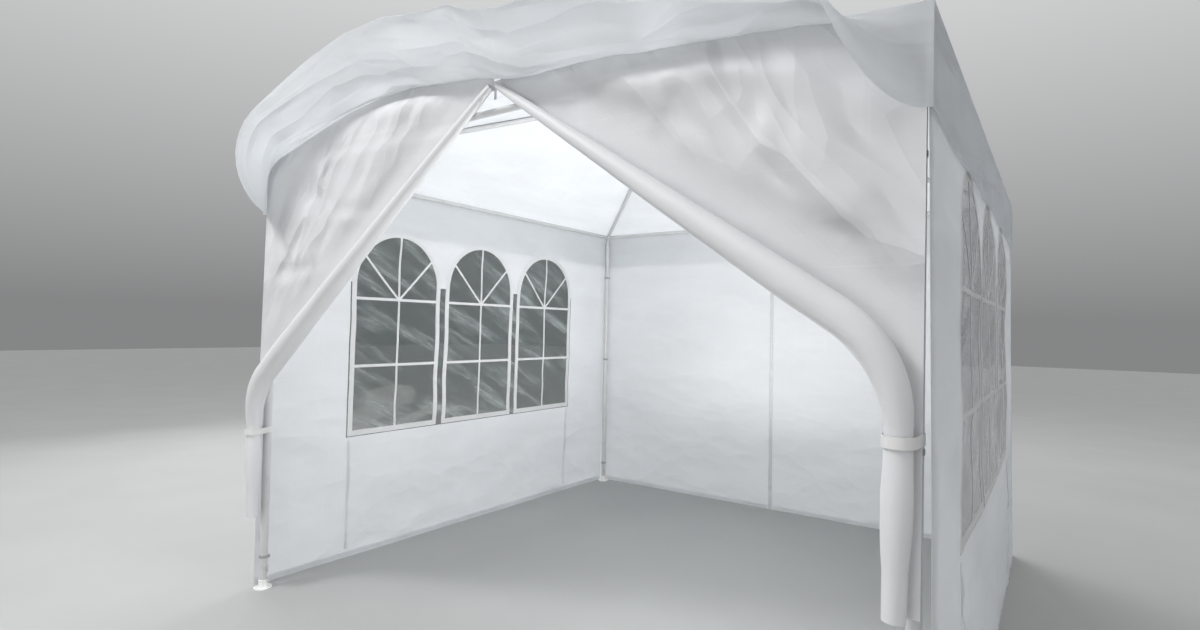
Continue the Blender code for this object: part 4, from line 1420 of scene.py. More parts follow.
    def build_sheet(self) -> Item:
        """Builds the sheet from the nets of its sides, which are welded along the hips.

        Returns:
            The sheet.
        """
        nets = [self.side_net(side) for side in Side]
        rows, columns = nets[0][0].shape[:2]
        points, marks, loose = (np.concatenate(parts) for parts in zip(*nets))
        faces = []
        for k in range(len(nets)):
            faces += [face[::-1] for face in grid_faces(rows, columns, k * rows * columns)]
        cover = add_mesh("roof_cover", points.reshape(-1, 3), faces, marks.reshape(-1, 2))
        mark_loose(cover, loose.ravel())
        welded = bmesh.new()
        welded.from_mesh(cover.data)
        bmesh.ops.remove_doubles(welded, verts=welded.verts, dist=self.weld_distance)
        bmesh.ops.dissolve_degenerate(welded, edges=welded.edges, dist=self.weld_distance / 2)
        welded.to_mesh(cover.data)
        welded.free()
        thicken(cover, self.thickness)
        dress(cover, self.finishes.roof)
        return cover

    def build(self) -> Item:
        """Builds the sheet, its hip seams and its hems.

        Returns:
            The sheet.
        """
        plan = self.plan
        cover = self.build_sheet()
        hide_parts(*(f"{kind}_{side.word}" for kind in ("roof", "valance") for side in Side))
        extras = [self.build_hip_seams(), self.build_hem_stitches()]
        drops = 8 * plan.eave_face * self.drop
        width = 2 * (plan.eave_face / plan.slope_cosine + self.drop)
        return cover

    def build_hip_seams(self) -> Item:
        """Builds the welded seam bands over the four hips.

        Returns:
            The bands, as one piece.
        """
        plan, half_width = self.plan, self.seam_half_width
        points, faces, marks = [], [], []
        distances = np.linspace(0.05, plan.eave_face - 0.004, self.seam_points)
        for side in Side:
            start = sum(len(p) for p in points)
            for inset in (-half_width, 0.0, half_width):
                share = np.clip(1 - np.abs(inset) / distances, 0, 1)
                slope = side
                if inset > 0:
                    slope, share = self.next_side(side), -share
                height = self.roof_height(slope, distances, share)
                spots = plan.at(slope, distances, share * distances, height)
                spots[:, 2] += self.thickness * 0.75
                points.append(spots)
            marks += [(d, k * half_width) for k in range(3) for d in distances]
            faces += grid_faces(3, len(distances), start)
        seams = add_mesh("roof_hip_seams", np.concatenate(points), faces, np.array(marks))
        thicken(seams, self.seam_thickness)
        dress(seams, self.finishes.trim)
        return seams

    @staticmethod
    def next_side(side: Side) -> Side:
        """The side that meets this one at its positive end."""
        ring = (Side.FRONT, Side.RIGHT, Side.BACK, Side.LEFT)
        return ring[(ring.index(side) + 1) % len(ring)]

    def build_hem_stitches(self) -> Item:
        """Builds two rows of stitches round the valances' hem.

        Returns:
            The stitches, as one piece.
        """
        pieces = []
        for k, side in enumerate(Side):
            sewing = Sewing(f"valance_stitches_{side.word}", side.outward)
            for inset in self.hem_rows:
                sewing.add(self.drop_line(side, self.drop - inset, self.thickness / 2))
            pieces.append(sewing.make(self.finishes.thread, 60 + k))
        item = join("valance_stitches", pieces)
        dress(item, self.finishes.thread)
        return item


def join(name: str, pieces: list) -> Item:
    """Joins untransformed objects.

    Args:
        name: the new object's name.
        pieces: the objects, which are removed.

    Returns:
        The new object.
    """
    whole = bmesh.new()
    for piece in pieces:
        whole.from_mesh(piece.data)
        bpy.data.objects.remove(piece, do_unlink=True)
    item = add_shape(name, whole)
    item.data.shade_smooth()
    return item


@dataclass
class Wall:
    """One hanging wall: where its cloth lies, with its soft folds."""

    plan: Plan
    finishes: Finishes
    side: Side
    seed: int
    thickness: float = CLOTH_THICKNESS
    spacing: float = 0.030
    bulge: float = 0.0085
    most_ripple: float = 0.014
    hem: float = 0.003
    hem_middle: float = 0.016
    hem_width: float = 0.028
    hem_inset: float = 0.01
    hem_rows: tuple[float, float] = (0.005, 0.027)
    row_inset: float = 0.02
    band_extra: float = 0.0016
    stitch_lift: float = 0.0009

    @property
    def top(self) -> float:
        """Height of the wall's upper edge."""
        return self.plan.eave + self.plan.top_rise

    def reach(self) -> float:
        """Half the wall's length, at its corners."""
        return self.plan.knee_face + self.plan.cloth / 2

    def ripple(self, along: Points, height: Points) -> Points:
        """How far the cloth stands out from its plain place.

        Args:
            along: places along the wall.
            height: heights above the floor.

        Returns:
            Distances outward.
        """
        plan = self.plan
        waves = 0.5 + Wave(0.5, (1.3, 0.5), (0, 3.1), self.seed).at(along, height)
        waves += Wave(0.42, (2.9, -1.1), (0, 8.3), self.seed + 1).at(along, height)
        creases = Creases(self.seed, 70, 0.08, 0.30, length=0.34, width=0.010, depth=0.0034)
        upright = Creases(self.seed + 5, 22, math.pi / 2, 0.2, length=0.45, width=0.010, depth=0.0028)
        fine = creases.height(along, height) + upright.height(along, height)
        near_top = fade_in(plan.eave - height, 0.02, 0.30)
        edge = fade_in(self.reach() - np.abs(along), 0.0, 0.16)
        room = 0.35 + 0.65 * fade_in(plan.valance_bottom - height, -0.02, 0.10)
        total = self.bulge * waves * room + fine * self.calm(along, height)
        return np.clip(total, 0.0, self.most_ripple) * near_top * (0.1 + 0.9 * edge)

    def calm(self, along: Points, height: Points) -> Points:
        """How far fine creases are allowed at each place, from 0 to 1: everywhere on a plain wall."""
        return np.ones_like(along, dtype=float)

    def place(self, along: Points, height: Points, lift: float = 0.0) -> Points:
        """World points of the cloth's middle layer, lifted outward."""
        distance = self.plan.wall_face(height) + self.plan.cloth / 2 + self.ripple(along, height) + lift
        return self.plan.at(self.side, distance, along, height)

    def sheet(self, name: str, outline: Points, holes: Sequence[Points], node: str) -> Item:
        """Cuts and hangs a piece of the wall's cloth.

        Args:
            name: the piece's name.
            outline: its corners.
            holes: corners of each opening.
            node: the frame's node that it takes the place of.

        Returns:
            The new object.
        """
        flat, faces = cut_cloth(outline, holes, self.spacing)
        item = add_mesh(name, self.place(flat[:, 0], flat[:, 1]), faces, flat)
        thicken(item, self.thickness)
        dress(item, self.finishes.wall)
        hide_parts(node)
        return item

    def outline(self, start: float, end: float) -> Points:
        """Corners of the wall's cloth between two places along it."""
        return np.array([(start, self.hem), (end, self.hem), (end, self.top), (start, self.top)])

    def hem_band(self, start: float, end: float) -> tuple[Path, float]:
        """Path and width of the hem's band on a cloth between two places along the wall."""
        first, last, height = start + self.hem_inset, end - self.hem_inset, self.hem + self.hem_middle
        return straight((first, height), (last, height)), self.hem_width

    def hem_stitches(self, start: float, end: float) -> list[Path]:
        """Paths of the hem's rows of stitches on a cloth between two places along the wall."""
        first, last = start + self.row_inset, end - self.row_inset
        return [straight((first, self.hem + h), (last, self.hem + h)) for h in self.hem_rows]

    def bands(self, name: str, lines: list[tuple[Path, float]]) -> Item:
        """Flat strips on the wall as one piece, from the path and width of each."""
        thickness = self.thickness + self.band_extra
        return strips(name, self.place, lines, thickness, self.finishes.wall)

    def stitches(self, name: str, lines: list[Path], seed: int) -> Item:
        """Makes rows of stitches on both faces of the wall.

        Args:
            name: the piece's name.
            lines: path of each row.
            seed: chooses how the stitches differ.

        Returns:
            The stitches, as one piece.
        """
        pieces = []
        for face in (-1, 1):
            sewing = Sewing(f"{name}_{face}", self.side.outward)
            lift = face * (self.thickness / 2 + self.stitch_lift)
            for path in lines:
                line = np.array(path)
                sewing.add(self.place(line[:, 0], line[:, 1], lift))
            pieces.append(sewing.make(self.finishes.thread, seed + face))
        item = join(name, pieces)
        dress(item, self.finishes.thread)
        return item


@dataclass
class WindowRow:
    """The three arched windows of a side wall."""

    width: float = 0.617
    strip: float = 0.056
    margin: float = 0.010
    sill: float = 0.675
    spring: float = 1.54
    lower_bar: float = 1.068
    upper_bar: float = 1.453
    frame_width: float = 0.024
    bar_width: float = 0.016
    thin_share: float = 0.8
    ray_angle: float = math.radians(46)
    overlap: float = 0.003
    lap: float = 0.006
    foot: float = 0.004
    arch_steps: int = 29

    @property
    def centres(self) -> list[float]:
        """Place of each window along the wall."""
        return [k * (self.width + self.strip) for k in (-1, 0, 1)]

    @property
    def half(self) -> float:
        """Half the length of the opening."""
        return 1.5 * self.width + self.strip + self.margin

    @property
    def inner(self) -> float:
        """Distance of the frame's middle from the window's middle."""
        return self.width / 2 - self.frame_width / 2 + self.lap / 2

    @property
    def film_size(self) -> tuple[float, float]:
        """Length and height of the film that closes the opening."""
        height = self.spring + self.width / 2 + self.overlap - self.sill + self.overlap
        return 2 * (self.half + self.overlap), height

    def opening(self, grow: float = 0.0, steps: int = 26) -> Points:
        """Outline of the opening in the wall, or of a sheet that reaches past it.

        Args:
            grow: how far the outline reaches past the opening.
            steps: number of steps on each arch.

        Returns:
            Corners of the outline.
        """
        radius, half = self.width / 2 + grow, self.half + grow
        top, low = self.spring + grow, self.sill - grow
        outline = [(-half, low), (half, low), (half, top)]
        first = math.asin(grow / radius)
        for centre in reversed(self.centres):
            for k in range(steps + 1):
                angle = first + (math.pi - 2 * first) * k / steps
                outline.append((centre + radius * math.cos(angle), self.spring + radius * math.sin(angle)))
        outline.append((-half, top))
        return np.array(outline)

    def arch(self, centre: float) -> Path:
        """Middle of a window's frame, up its right side, over the arch and down its left side.

        Args:
            centre: the window's place along the wall.

        Returns:
            The path.
        """
        inner, right, left = self.inner, centre + self.inner, centre - self.inner
        path = [(right, self.sill + self.foot)]
        path += straight((right, self.sill + 0.03), (right, self.spring))
        for k in range(1, self.arch_steps):
            angle = math.pi * k / self.arch_steps
            path.append((centre + inner * math.cos(angle), self.spring + inner * math.sin(angle)))
        return path + straight((left, self.spring), (left, self.sill + self.foot))

    def bars(self, centre: float) -> list[tuple[Path, float]]:
        """Frame and bars of one window.

        Args:
            centre: the window's place along the wall.

        Returns:
            Path and width of each.
        """
        inner, thin = self.inner, self.bar_width * self.thin_share
        reach = inner + self.frame_width / 2
        bottom = self.sill + self.frame_width * 0.7
        lines = [(self.arch(centre), self.frame_width + self.lap)]
        lines.append((straight((centre - reach, bottom), (centre + reach, bottom)), self.frame_width * 1.25))
        for height in (self.lower_bar, self.upper_bar):
            lines.append((straight((centre - inner, height), (centre + inner, height)), self.bar_width))
        lines.append((straight((centre, bottom), (centre, self.spring + inner)), thin))
        cosine, sine = math.cos(self.ray_angle), math.sin(self.ray_angle)
        drop = self.spring - self.upper_bar
        ray = drop * sine + math.sqrt(inner**2 - (drop * cosine) ** 2)
        for way in (-1, 1):
            end = (centre + way * ray * cosine, self.upper_bar + ray * sine)
            lines.append((straight((centre, self.upper_bar), end), thin))
        return lines


@dataclass
class SideWall(Wall):
    """Side wall with its row of windows."""

    windows: WindowRow = field(default_factory=WindowRow)
    seam_place: float = 0.975
    seam_width: float = 0.016
    film_spacing: float = 0.022
    film_thickness: float = 0.0005
    film_gap: float = 0.0008
    bar_thickness: float = 0.0034

    def build(self) -> None:
        """Builds the cloth, the film, the window bars, the seams and the hems."""
        row, word, reach = self.windows, self.side.word, self.reach()
        cloth = self.sheet(
            f"side_wall_{word}", self.outline(-reach, reach), [row.opening()], f"wall_{word}"
        )
        seams = [(self.seam(place), self.seam_width) for place in (-self.seam_place, self.seam_place)]
        bands = self.bands(f"side_wall_bands_{word}", [self.hem_band(-reach, reach), *seams])
        rows = self.hem_stitches(-reach, reach)
        stitches = self.stitches(f"side_wall_stitches_{word}", rows, 80 + self.seed)
        film = self.build_film()
        bars = self.build_bars()
        height = self.top - self.hem
        2 * reach * height - enclosed(row.opening())
        row.film_size
        enclosed(row.opening(row.overlap))

    def seam(self, place: float) -> Path:
        """The part of an upright seam that lies under the windows' sill."""
        whole = straight((place, self.hem + 0.05), (place, self.plan.eave - 0.03))
        return [spot for spot in whole if spot[1] < self.windows.sill - 0.01]

    def calm(self, along: Points, height: Points) -> Points:
        """Keeps the cloth round the windows free of fine creases.

        Args:
            along: places along the wall.
            height: heights above the floor.

        Returns:
            How far they are allowed, from 0 to 1.
        """
        row = self.windows
        beside = fade_in(np.abs(along) - row.half, 0.02, 0.12)
        below = fade_in(row.sill - height, 0.02, 0.12)
        above = fade_in(height - row.spring - row.width / 2, 0.02, 0.12)
        return np.maximum(np.maximum(beside, below), above)

    def film_place(self, along: Points, height: Points) -> Points:
        """Where the film lies: just inside the cloth, a little slack between the bars.

        Args:
            along: places along the wall.
            height: heights above the floor.

        Returns:
            World points.
        """
        row = self.windows
        free = fade_in(row.half - np.abs(along), 0.0, 0.10) * fade_in(height - row.sill, 0.0, 0.10)
        free = free * fade_in(row.spring + row.width / 2 - height, 0.0, 0.10)
        slack = Wave(0.0035, (3.2, 2), (0, 4.1), self.seed + 21).at(along, height)
        slack += Wave(0.0022, (7.5, 0), (3, 6.3), self.seed + 22).at(along, height)
        inset = -self.thickness / 2 - self.film_gap
        return self.place(along, height) + (inset + slack * free)[..., None] * self.side.outward

    def build_film(self) -> Item:
        """Builds the clear film behind the three windows.

        Returns:
            The film.
        """
        word, row = self.side.word, self.windows
        flat, faces = cut_cloth(row.opening(row.overlap), [], self.film_spacing)
        film = add_mesh(f"window_sheet_{word}", self.film_place(flat[:, 0], flat[:, 1]), faces, flat)
        thicken(film, self.film_thickness)
        dress(film, self.finishes.film)
        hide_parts(f"window_film_{word}")
        return film

    def build_bars(self) -> Item:
        """The frames and bars that are welded to the film, as one piece."""
        name, lines = f"window_bars_{self.side.word}", sum(map(self.windows.bars, self.windows.centres), [])
        return strips(name, self.film_place, lines, self.bar_thickness, self.finishes.trim)


@dataclass
class BackWall(Wall):
    """Rear wall in two halves with a zip between them."""

    zip_width: float = 0.026
    zip_thickness: float = 0.0016
    zip_lap: float = 0.001
    zip_seams: tuple[float, float] = (0.020, 0.032)
    tooth_pitch: float = 0.0042
    tooth_offset: float = 0.0016
    tooth_lift: float = 0.0014
    tooth_length: float = 0.0022
    tooth_width: float = 0.0052
    tooth_height: float = 0.0026

    def build(self) -> None:
        """Builds both halves and the zip between them."""
        self.build_half(1)
        self.build_half(-1)
        self.build_zip()

    def build_half(self, sign: int) -> None:
        """Builds one half with its seams and hems.

        Args:
            sign: 1 for the half at the wall's positive end, which is the tent's left one, or -1.
        """
        word = "left" if sign > 0 else "right"
        edge, reach = self.zip_width / 2 - self.zip_lap, self.reach()
        start, end = sorted((sign * edge, sign * reach))
        cloth = self.sheet(f"rear_wall_{word}", self.outline(start, end), [], f"wall_back_{word}")
        bands = self.bands(f"rear_wall_bands_{word}", [self.hem_band(start, end)])
        rows = self.hem_stitches(start, end)
        for place in self.zip_seams:
            rows.append(straight((sign * place, self.hem + 0.04), (sign * place, self.top - 0.01)))
        stitches = self.stitches(f"rear_wall_stitches_{word}", rows, 90)

    def build_zip(self) -> None:
        """Builds the zip's tape and its two rows of teeth."""
        path = straight((0, self.hem + 0.002), (0, self.top - 0.002))
        lines, finish = [(path, self.zip_width)], self.finishes.tape
        tape = strips("rear_zip_tape", self.place, lines, self.zip_thickness, finish)
        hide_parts("wall_back_zip")
        line = np.array(straight((0, self.hem + 0.006), (0, self.top - 0.006), 0.01))
        rows = []
        for k, offset in enumerate((-self.tooth_offset, self.tooth_offset)):
            height = line[:, 1] + k * self.tooth_pitch / 2
            row = Sewing(
                f"zip_row_{k}", self.side.outward, spacing=self.tooth_pitch, length=self.tooth_length,
                width=self.tooth_width, height=self.tooth_height, wander=0.0,
            )
            row.add(self.place(line[:, 0] + offset, height, self.tooth_lift))
            rows.append(row.make(self.finishes.plastic, 1))
        teeth = join("rear_zip_teeth", rows)
        dress(teeth, self.finishes.plastic)


@dataclass
class DoorFlap:
    """One flap of the door, rolled up along a slant and tied to its leg."""

    plan: Plan
    finishes: Finishes
    hand: Hand
    tie_height: float
    seed: int
    middle: float = 0.08
    start_offset: float = 0.016
    top_radius: float = 0.012
    full_radius: float = 0.052
    tied_radius: float = 0.036
    tail_radius: float = 0.030
    tail: float = 0.38
    tail_swell: float = 0.006
    tail_drift: float = 0.006
    inset: float = 0.022
    bend: float = 0.17
    tie_width: float = 0.028
    solid_sides: int = 14
    turns: float = 4.0
    turn_points: int = 26
    tightening: float = 0.84
    top_gap: float = 0.004
    top_tuck: float = 0.012
    tuck: float = 0.003
    thickness: float = CLOTH_THICKNESS
    spacing: float = 0.022
    most_ripple: float = 0.050

    def top(self) -> float:
        """Height at which the roll starts, just under the fold of the valance."""
        plan = self.plan
        fold = plan.door_bend / plan.door_turn_angle + plan.cloth / 2
        return plan.eave + plan.door_lift_height - fold - self.top_radius - self.top_gap

    def roll_distance(self, height: Points, radius: Points) -> Points:
        """How far out the roll's middle lies, at heights where it has a radius."""
        face = np.maximum(self.plan.wall_face(height), self.plan.knee_face)
        return face + self.plan.cloth + self.plan.touch_gap + radius / math.cos(math.pi / self.solid_sides)

    def route(self, fine: int = 1) -> Points:
        """The roll's way from the top to the tail's end.

        Args:
            fine: how many times finer than the solid's its steps are.

        Returns:
            Rows of place outward along the side, height and radius.
        """
        end = self.plan.half - self.inset
        start = Vector((self.start_offset + self.hand.value * self.middle, self.top() + self.top_tuck))
        bend_end = Vector((end, self.tie_height + self.tie_width))
        knee = bend_end + Vector((0, self.bend))
        bend_start = knee - (knee - start).normalized() * self.bend
        rows = []
        for k in range(10 * fine):
            share = k / (10 * fine)
            spot = start.lerp(bend_start, share)
            grow = min(1.0, share * 1.1) ** 0.8
            rows.append((spot.x, spot.y, self.top_radius + (self.full_radius - self.top_radius) * grow))
        for k in range(6 * fine + 1):
            t = k / (6 * fine)
            spot = bend_start * (1 - t) ** 2 + knee * (2 * t * (1 - t)) + bend_end * t**2
            rows.append((spot.x, spot.y, self.full_radius + (self.tied_radius - self.full_radius) * t**2))
        low = self.tie_height - self.tie_width
        rows.append((end, low, self.tied_radius))
        for k in range(1, 5 * fine + 1):
            t = k / (5 * fine)
            swell = self.tied_radius + self.tail_swell * math.sin(math.pi * min(1.0, t * 1.4))
            radius = swell + (self.tail_radius - self.tied_radius) * t
            rows.append((end - self.tail_drift * t, low - self.tail * t, radius))
        return np.array(rows)

    def roll_path(self, fine: int) -> tuple[Points, Points]:
        """The roll's middle line.

        Args:
            fine: how many times finer than the solid's its steps are.

        Returns:
            World points along the line, and the roll's radius at each.
        """
        along, height, radius = self.route(fine).T
        tied = height < self.tie_height + self.tie_width * 1.01
        at_tie = self.roll_distance(
            np.full_like(height, self.tie_height), np.full_like(height, self.tied_radius)
        )
        distance = np.where(tied, at_tie, self.roll_distance(height, radius))
        return self.plan.at(Side.FRONT, distance, self.hand.value * along, height), radius

    def build_roll(self) -> None:
        """Builds the rolled cloth: a sheet wound in turns about the slant."""
        path, radius = self.roll_path(7)
        tangent = unit(np.gradient(path, axis=0))
        out = Side.FRONT.outward
        first = unit(out - tangent * (tangent @ out)[:, None])
        second = np.cross(tangent, first)
        count = int(self.turn_points * self.turns) + 1
        turn = np.arange(count) / self.turn_points
        angle = math.pi - self.hand.value * 2 * math.pi * turn
        shrink = 1 - self.tightening * turn / self.turns
        length = np.concatenate([[0], np.cumsum(np.linalg.norm(np.diff(path, axis=0), axis=1))])
        lump = 1 + Wave(0.030, (5, 0.4), (0, 0.8), self.seed).at(length[:, None], angle[None, :])
        lump += Wave(0.020, (17, 1.1), (0, 1.7), self.seed + 1).at(length[:, None], angle[None, :])
        lump = np.minimum(lump - 0.02, 1.0)
        reach = (radius[:, None] - self.thickness / 2) * shrink[None, :] * lump
        points = path[:, None, :] + (np.cos(angle)[None, :] * reach)[..., None] * first[:, None, :]
        points = points + (np.sin(angle)[None, :] * reach)[..., None] * second[:, None, :]
        wound = 2 * math.pi * turn * float(radius.mean()) * 0.6
        marks = np.stack(np.broadcast_arrays(length[:, None], wound[None, :]), -1)
        item = add_mesh(
            f"door_bundle_{self.hand.word}", points.reshape(-1, 3), grid_faces(len(path), count),
            marks.reshape(-1, 2),
        )
        thicken(item, self.thickness)
        dress(item, self.finishes.roll)
        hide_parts(f"door_roll_{self.hand.word}")

    def edge_at(self, height: Points) -> Points:
        """Place of the roll's middle outward along the side, at heights above the floor."""
        rows = sorted(self.route().tolist(), key=lambda row: row[1])
        return np.interp(height, [row[1] for row in rows], [row[0] for row in rows])

    def outline(self) -> Points:
        """Outline of the flat part.

        Returns:
            Corners, as place outward along the side and height.
        """
        plan, rows = self.plan, self.route(2)
        hem = plan.eave + plan.top_rise
        points = [(a, z) for a, z, _ in rows if a < plan.half - self.inset - plan.touch_gap]
        leg = plan.knee_face + plan.cloth / 2 - 0.001
        points += [(leg, points[-1][1]), (leg, hem - 0.002)]
        for reach in np.linspace(leg - 0.004, rows[0, 0], 24):
            raised = plan.door_raise(plan.top_face, np.array(self.hand.value * reach / plan.top_face))
            points.append((reach, hem + float(raised) + self.tuck))
        return np.array(points)

    def ripple(self, along: Points, height: Points) -> Points:
        """How far the flap's cloth stands out from its plain place.

        Args:
            along: places outward along the side.
            height: heights above the floor.

        Returns:
            Distances outward.
        """
        gap = along - self.edge_at(height)
        near_roll = 0.10 * fade_in(gap, 0.05, 0.14) + 0.90 * fade_in(gap, 0.15, 0.36)
        near_leg = fade_in(self.plan.knee_face - along, 0.0, 0.14)
        share = self.hand.value * along / self.plan.top_face
        edge = self.plan.eave + self.plan.door_raise(self.plan.top_face, share)
        near_top = fade_in(edge - height, 0.0, 0.10)
        slant = -0.62 if self.hand is Hand.RIGHT else -0.95
        waves = 0.5 + Wave(0.55, (2.0, 2.4), (-1.2, 2.2), self.seed + 3).at(along, height)
        seed = self.seed
        broad = Creases(seed, 14, slant, 0.22, length=0.55, width=0.028, depth=0.020, folded=True)
        facets = Creases(seed + 9, 36, 0.4, 1.0, length=0.30, width=0.020, depth=0.020, folded=True)
        sharp = Creases(seed + 4, 26, 0.3, 0.9, length=0.22, width=0.010, depth=0.007)
        total = 0.010 + 0.012 * waves
        for creases in (broad, facets, sharp):
            total = total + creases.height(along, height)
        return np.clip(total, 0.0, self.most_ripple) * near_roll * near_leg * near_top

    def build_flap(self) -> None:
        """Builds the flat part of the flap, between the roof, the leg and its roll."""
        plan, word = self.plan, self.hand.word
        flat, faces = cut_cloth(self.outline(), [], self.spacing)
        along, height = flat[:, 0], flat[:, 1]
        distance = plan.wall_face(height) + plan.cloth / 2 + self.ripple(along, height)
        points = plan.at(Side.FRONT, distance, self.hand.value * along, height)
        item = add_mesh(f"door_curtain_{word}", points, faces, flat)
        loose = 0.12 + 0.88 * fade_in(along - self.edge_at(height), 0.18, 0.42)
        mark_loose(item, loose * (0.35 + 0.65 * fade_in(height, 1.15, 1.55)))
        thicken(item, self.thickness)
        dress(item, self.finishes.door)
        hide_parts(f"door_flap_{word}")
        enclosed(self.outline())

    def build(self) -> None:
        """Builds the flat part and the roll."""
        self.build_flap()
        self.build_roll()


@dataclass
class ZipPull:
    """Slider and pull tab that hang at the door's apex."""

    plan: Plan
    finishes: Finishes
    place_x: float = 0.08
    height: float = 2.172
    stand_off: float = 0.010
    slider: Triple = (0.011, 0.005, 0.014)
    tab: Triple = (0.012, 0.0018, 0.040)
    tab_drop: float = 0.008
    rounding: float = 0.45

    def build(self) -> None:
        """Builds the slider body and the tab as one piece."""
        plan = self.plan
        centre = Vector((self.place_x, plan.middle_y - plan.top_face - self.stand_off, self.height))
        shape = bmesh.new()
        for size, drop in ((self.slider, 0.0), (self.tab, self.tab_drop + self.tab[2] / 2)):
            made = bmesh.ops.create_cube(shape, size=1.0)["verts"]
            bmesh.ops.scale(shape, vec=size, verts=made)
            bmesh.ops.translate(shape, vec=centre - Vector((0, 0, drop)), verts=made)
            edges = list({edge for vert in made for edge in vert.link_edges})
            offset = min(size) * self.rounding
            bmesh.ops.bevel(shape, geom=edges, offset=offset, segments=3, affect="EDGES", profile=0.6)
        item = add_shape("zip_pull", shape)
        shade(item)
        dress(item, self.finishes.wire)


@dataclass
class ApexPatch:
    """Small piece of the door's cloth that joins both flaps above the zip."""

    plan: Plan
    finishes: Finishes
    place_x: float = 0.08
    low_half: float = 0.025
    high_half: float = 0.085
    low: float = 2.160
    high: float = 2.196
    spacing: float = 0.012
    thickness: float = CLOTH_THICKNESS

    def build(self) -> None:
        """Builds the patch, a narrow trapezium with its lower edge above the pull."""
        plan, middle = self.plan, self.place_x
        outline = np.array([
            (middle - self.low_half, self.low), (middle + self.low_half, self.low),
            (middle + self.high_half, self.high), (middle - self.high_half, self.high),
        ])
        flat, faces = cut_cloth(outline, [], self.spacing)
        distance = np.full(len(flat), plan.top_face + plan.cloth * 0.25)
        points = plan.at(Side.FRONT, distance, flat[:, 0], flat[:, 1])
        item = add_mesh("door_apex_patch", points, faces, flat)
        thicken(item, self.thickness)
        dress(item, self.finishes.door)


@dataclass
class LegTies:
    """Bands that hold the walls to the legs."""

    plan: Plan
    finishes: Finishes
    heights: tuple[float, ...] = (0.155, 1.04, 1.74)
    band: float = 0.014
    thickness: float = 0.0012
    knot_radius: float = 0.0095
    knot_shape: Triple = (0.8, 0.8, 1.0)
    knot_offset: float = 0.004

    def build(self) -> None:
        """Builds three bands on each leg, each with its knot, as one piece."""
        plan = self.plan
        spots, shape = [], bmesh.new()
        for x in (-1, 1):
            for y in (-1, 1):
                toward = np.array([-x, -y, 0.0]) / math.sqrt(2)
                for height in self.heights:
                    spot = np.array([x * plan.half, plan.middle_y + y * plan.half, height])
                    knot = spot + toward * (plan.leg_radius + self.knot_offset)
                    made = bmesh.ops.create_icosphere(shape, subdivisions=2, radius=self.knot_radius)["verts"]
                    bmesh.ops.scale(shape, vec=self.knot_shape, verts=made)
                    bmesh.ops.translate(shape, vec=Vector(knot), verts=made)
                    spots.append(spot)
        bands = grown("leg_bands", np.array(spots), [], Shared.BANDS, {
            "Radius": plan.leg_radius + self.thickness, "Band Width": self.band,
            "Thickness": self.thickness, "Finish": self.finishes.cord,
        })
        item = join("leg_ties", [bands, add_shape("knots", shape)])
        shade(item)
        dress(item, self.finishes.cord)


@dataclass
class Skeleton:
    """The steel frame, feet, clips and ties, which keep their solids."""

    finishes: Finishes

    def build(self) -> int:
        """Gives each node its finish.

        Returns:
            How many nodes were finished.
        """
        steel = ("leg_upper_", "leg_lower_", "corner_joint_", "hip_rafter_", "eave_rail_", "peak_hub")
        by_kind = dict.fromkeys(steel, self.finishes.steel)
        by_kind["foot_"] = self.finishes.plastic
        by_kind["clip_"] = self.finishes.wire
        by_kind["door_tie_"] = self.finishes.webbing
        done = 0
        for name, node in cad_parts.items():
            for start, material in by_kind.items():
                if name.startswith(start):
                    node.data.materials.clear()
                    node.data.materials.append(material)
                    done += 1
        return done


@dataclass(frozen=True)
class Lamp:
    """A soft square light that faces a point."""

    name: str
    place: Triple
    aim: Triple
    size: float
    power: float

    def build(self) -> None:
        """Adds the light to the scene."""
        data = bpy.data.lights.new(self.name, "AREA")
        data.shape = "SQUARE"
        data.size = self.size
        data.energy = self.power
        item = placed(self.name, data)
        item.location = self.place
        item.visible_camera = False
        item.rotation_euler = (Vector(self.aim) - Vector(self.place)).to_track_quat("-Z", "Y").to_euler()


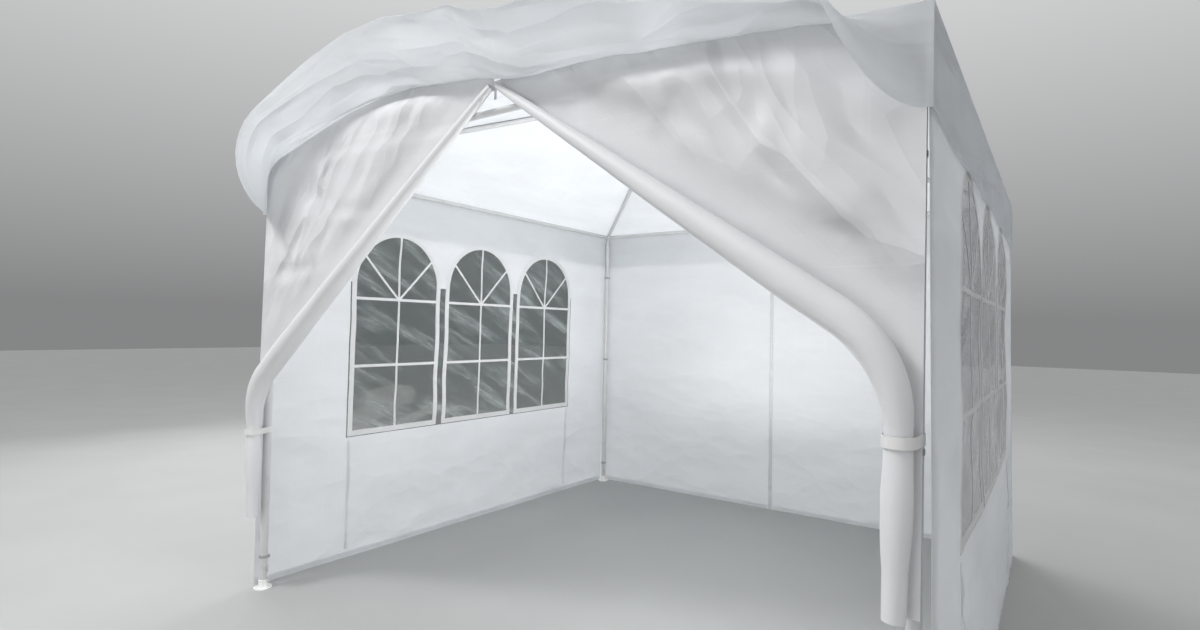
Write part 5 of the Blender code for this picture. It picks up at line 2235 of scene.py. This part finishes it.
@dataclass(frozen=True)
class Studio:
    """Camera at the photograph's viewing angle, pale floor and soft lights."""

    place: Triple = (1.7364, -3.0318, 1.3169)
    yaw: float = math.radians(35.353)
    pitch: float = math.radians(1.055)
    roll: float = math.radians(1.163)
    lens: float = 19.479
    sensor: float = 36.0
    near: float = 0.05
    floor_half: float = 30.0
    lamps: tuple[Lamp, ...] = (
        Lamp("key_above_behind", (-2.0, 4.6, 7.0), (0, 0.2, 1.6), 4.0, 230),
        Lamp("top_front", (-2.2, -4.2, 5.8), (0.3, -1.4, 1.5), 1.0, 160),
        Lamp("left_side", (-6.0, 0.5, 3.5), (0, 0, 1.2), 3.5, 95),
        Lamp("low_front", (0.4, -5.2, 1.3), (0.2, -1.5, 2.0), 1.6, 24),
        Lamp("inside_wall", (0.9, -0.9, 1.5), (-1.2, 0.6, 1.2), 1.2, 21),
        Lamp("inside_roof", (0.0, 0.4, 0.5), (0.0, 0.4, 2.0), 1.4, 15),
    )
    sky_low: Colour = (0.25, 0.252, 0.255)
    sky_high: Colour = (1.0, 1.005, 1.012)
    sky_strength: float = 0.85
    exposure: float = 0.15

    def build_camera(self) -> None:
        """Creates the camera."""
        data = bpy.data.cameras.new("camera")
        data.lens = self.lens
        data.sensor_width = self.sensor
        data.clip_start = self.near
        ahead = Vector((
            -math.sin(self.yaw) * math.cos(self.pitch), math.cos(self.yaw) * math.cos(self.pitch),
            math.sin(self.pitch),
        ))
        level = ahead.cross(Vector((0, 0, 1))).normalized()
        up = level.cross(ahead)
        right = level * math.cos(self.roll) + up * math.sin(self.roll)
        up = right.cross(ahead)
        turned = Matrix((right, up, -ahead)).transposed().to_4x4()
        camera = placed("camera", data)
        camera.matrix_world = Matrix.Translation(self.place) @ turned
        bpy.context.scene.camera = camera

    def build_floor(self) -> None:
        """Creates the floor, which isn't part of the object."""
        half = self.floor_half
        corners = np.array([(-half, -half, 0), (half, -half, 0), (half, half, 0), (-half, half, 0)])
        floor = add_mesh("studio_floor", corners, [(0, 1, 2, 3)])
        material, nodes, shader, _ = new_material("floor_paint")
        value = nodes.noise(nodes.add("ShaderNodeTexCoord").outputs["Object"], 1.4, 4.0)
        colour = nodes.blend(value, (0.35, 0.355, 0.35), (0.40, 0.405, 0.40))
        nodes.link(colour, shader.inputs["Base Color"])
        nodes.feed(0.8, shader.inputs["Roughness"])
        floor.data.materials.append(material)
        floor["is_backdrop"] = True

    def build_sky(self) -> None:
        """Creates the surrounding, darker near the ground."""
        world = bpy.data.worlds.new("studio")
        world.use_nodes = True
        nodes = Nodes(world.node_tree)
        height = nodes.axis(nodes.add("ShaderNodeTexCoord").outputs["Generated"], "Z")
        colour = nodes.blend(nodes.ramp(height, 0.02, 0.75), self.sky_low, self.sky_high)
        back = world.node_tree.nodes["Background"]
        nodes.link(colour, back.inputs["Color"])
        nodes.feed(self.sky_strength, back.inputs["Strength"])
        bpy.context.scene.world = world

    def build(self) -> None:
        """Creates the floor, the lights and the surrounding."""
        self.build_floor()
        for lamp in self.lamps:
            lamp.build()
        self.build_sky()
        bpy.context.scene.view_settings.view_transform = "Standard"
        bpy.context.scene.view_settings.exposure = self.exposure


def main() -> None:
    """Builds the camera, the object's pieces and the studio, and logs its progress."""
    logging.basicConfig(level=logging.INFO, format="%(name)s: %(message)s")
    studio = Studio()
    studio.build_camera()
    plan = Plan.from_frame()
    LOG.info("plan: half %.3f, eave %.3f, rise %.3f", plan.half, plan.eave, plan.rise)
    finishes = Finishes()
    LOG.info("frame: %d nodes finished", Skeleton(finishes).build())
    cover = RoofCover(plan, finishes).build()
    LOG.info("roof cover: %d faces", len(cover.data.polygons))
    for seed, side in ((3, Side.LEFT), (4, Side.RIGHT)):
        SideWall(plan, finishes, side, seed).build()
        LOG.info("side wall: %s", side.word)
    BackWall(plan, finishes, Side.BACK, 8).build()
    LOG.info("rear wall: two halves and zip")
    for hand, height, seed in ((Hand.LEFT, 0.78, 40), (Hand.RIGHT, 1.07, 50)):
        DoorFlap(plan, finishes, hand, height, seed).build()
        LOG.info("door flap: %s", hand.word)
    ApexPatch(plan, finishes).build()
    ZipPull(plan, finishes).build()
    LegTies(plan, finishes).build()
    LOG.info("small fittings: zip pull and leg ties")
    studio.build()
    [[list(map(float, corner)) for corner in box] for box in (CAD_BOX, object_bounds())]


if __name__ == "__main__":
    main()
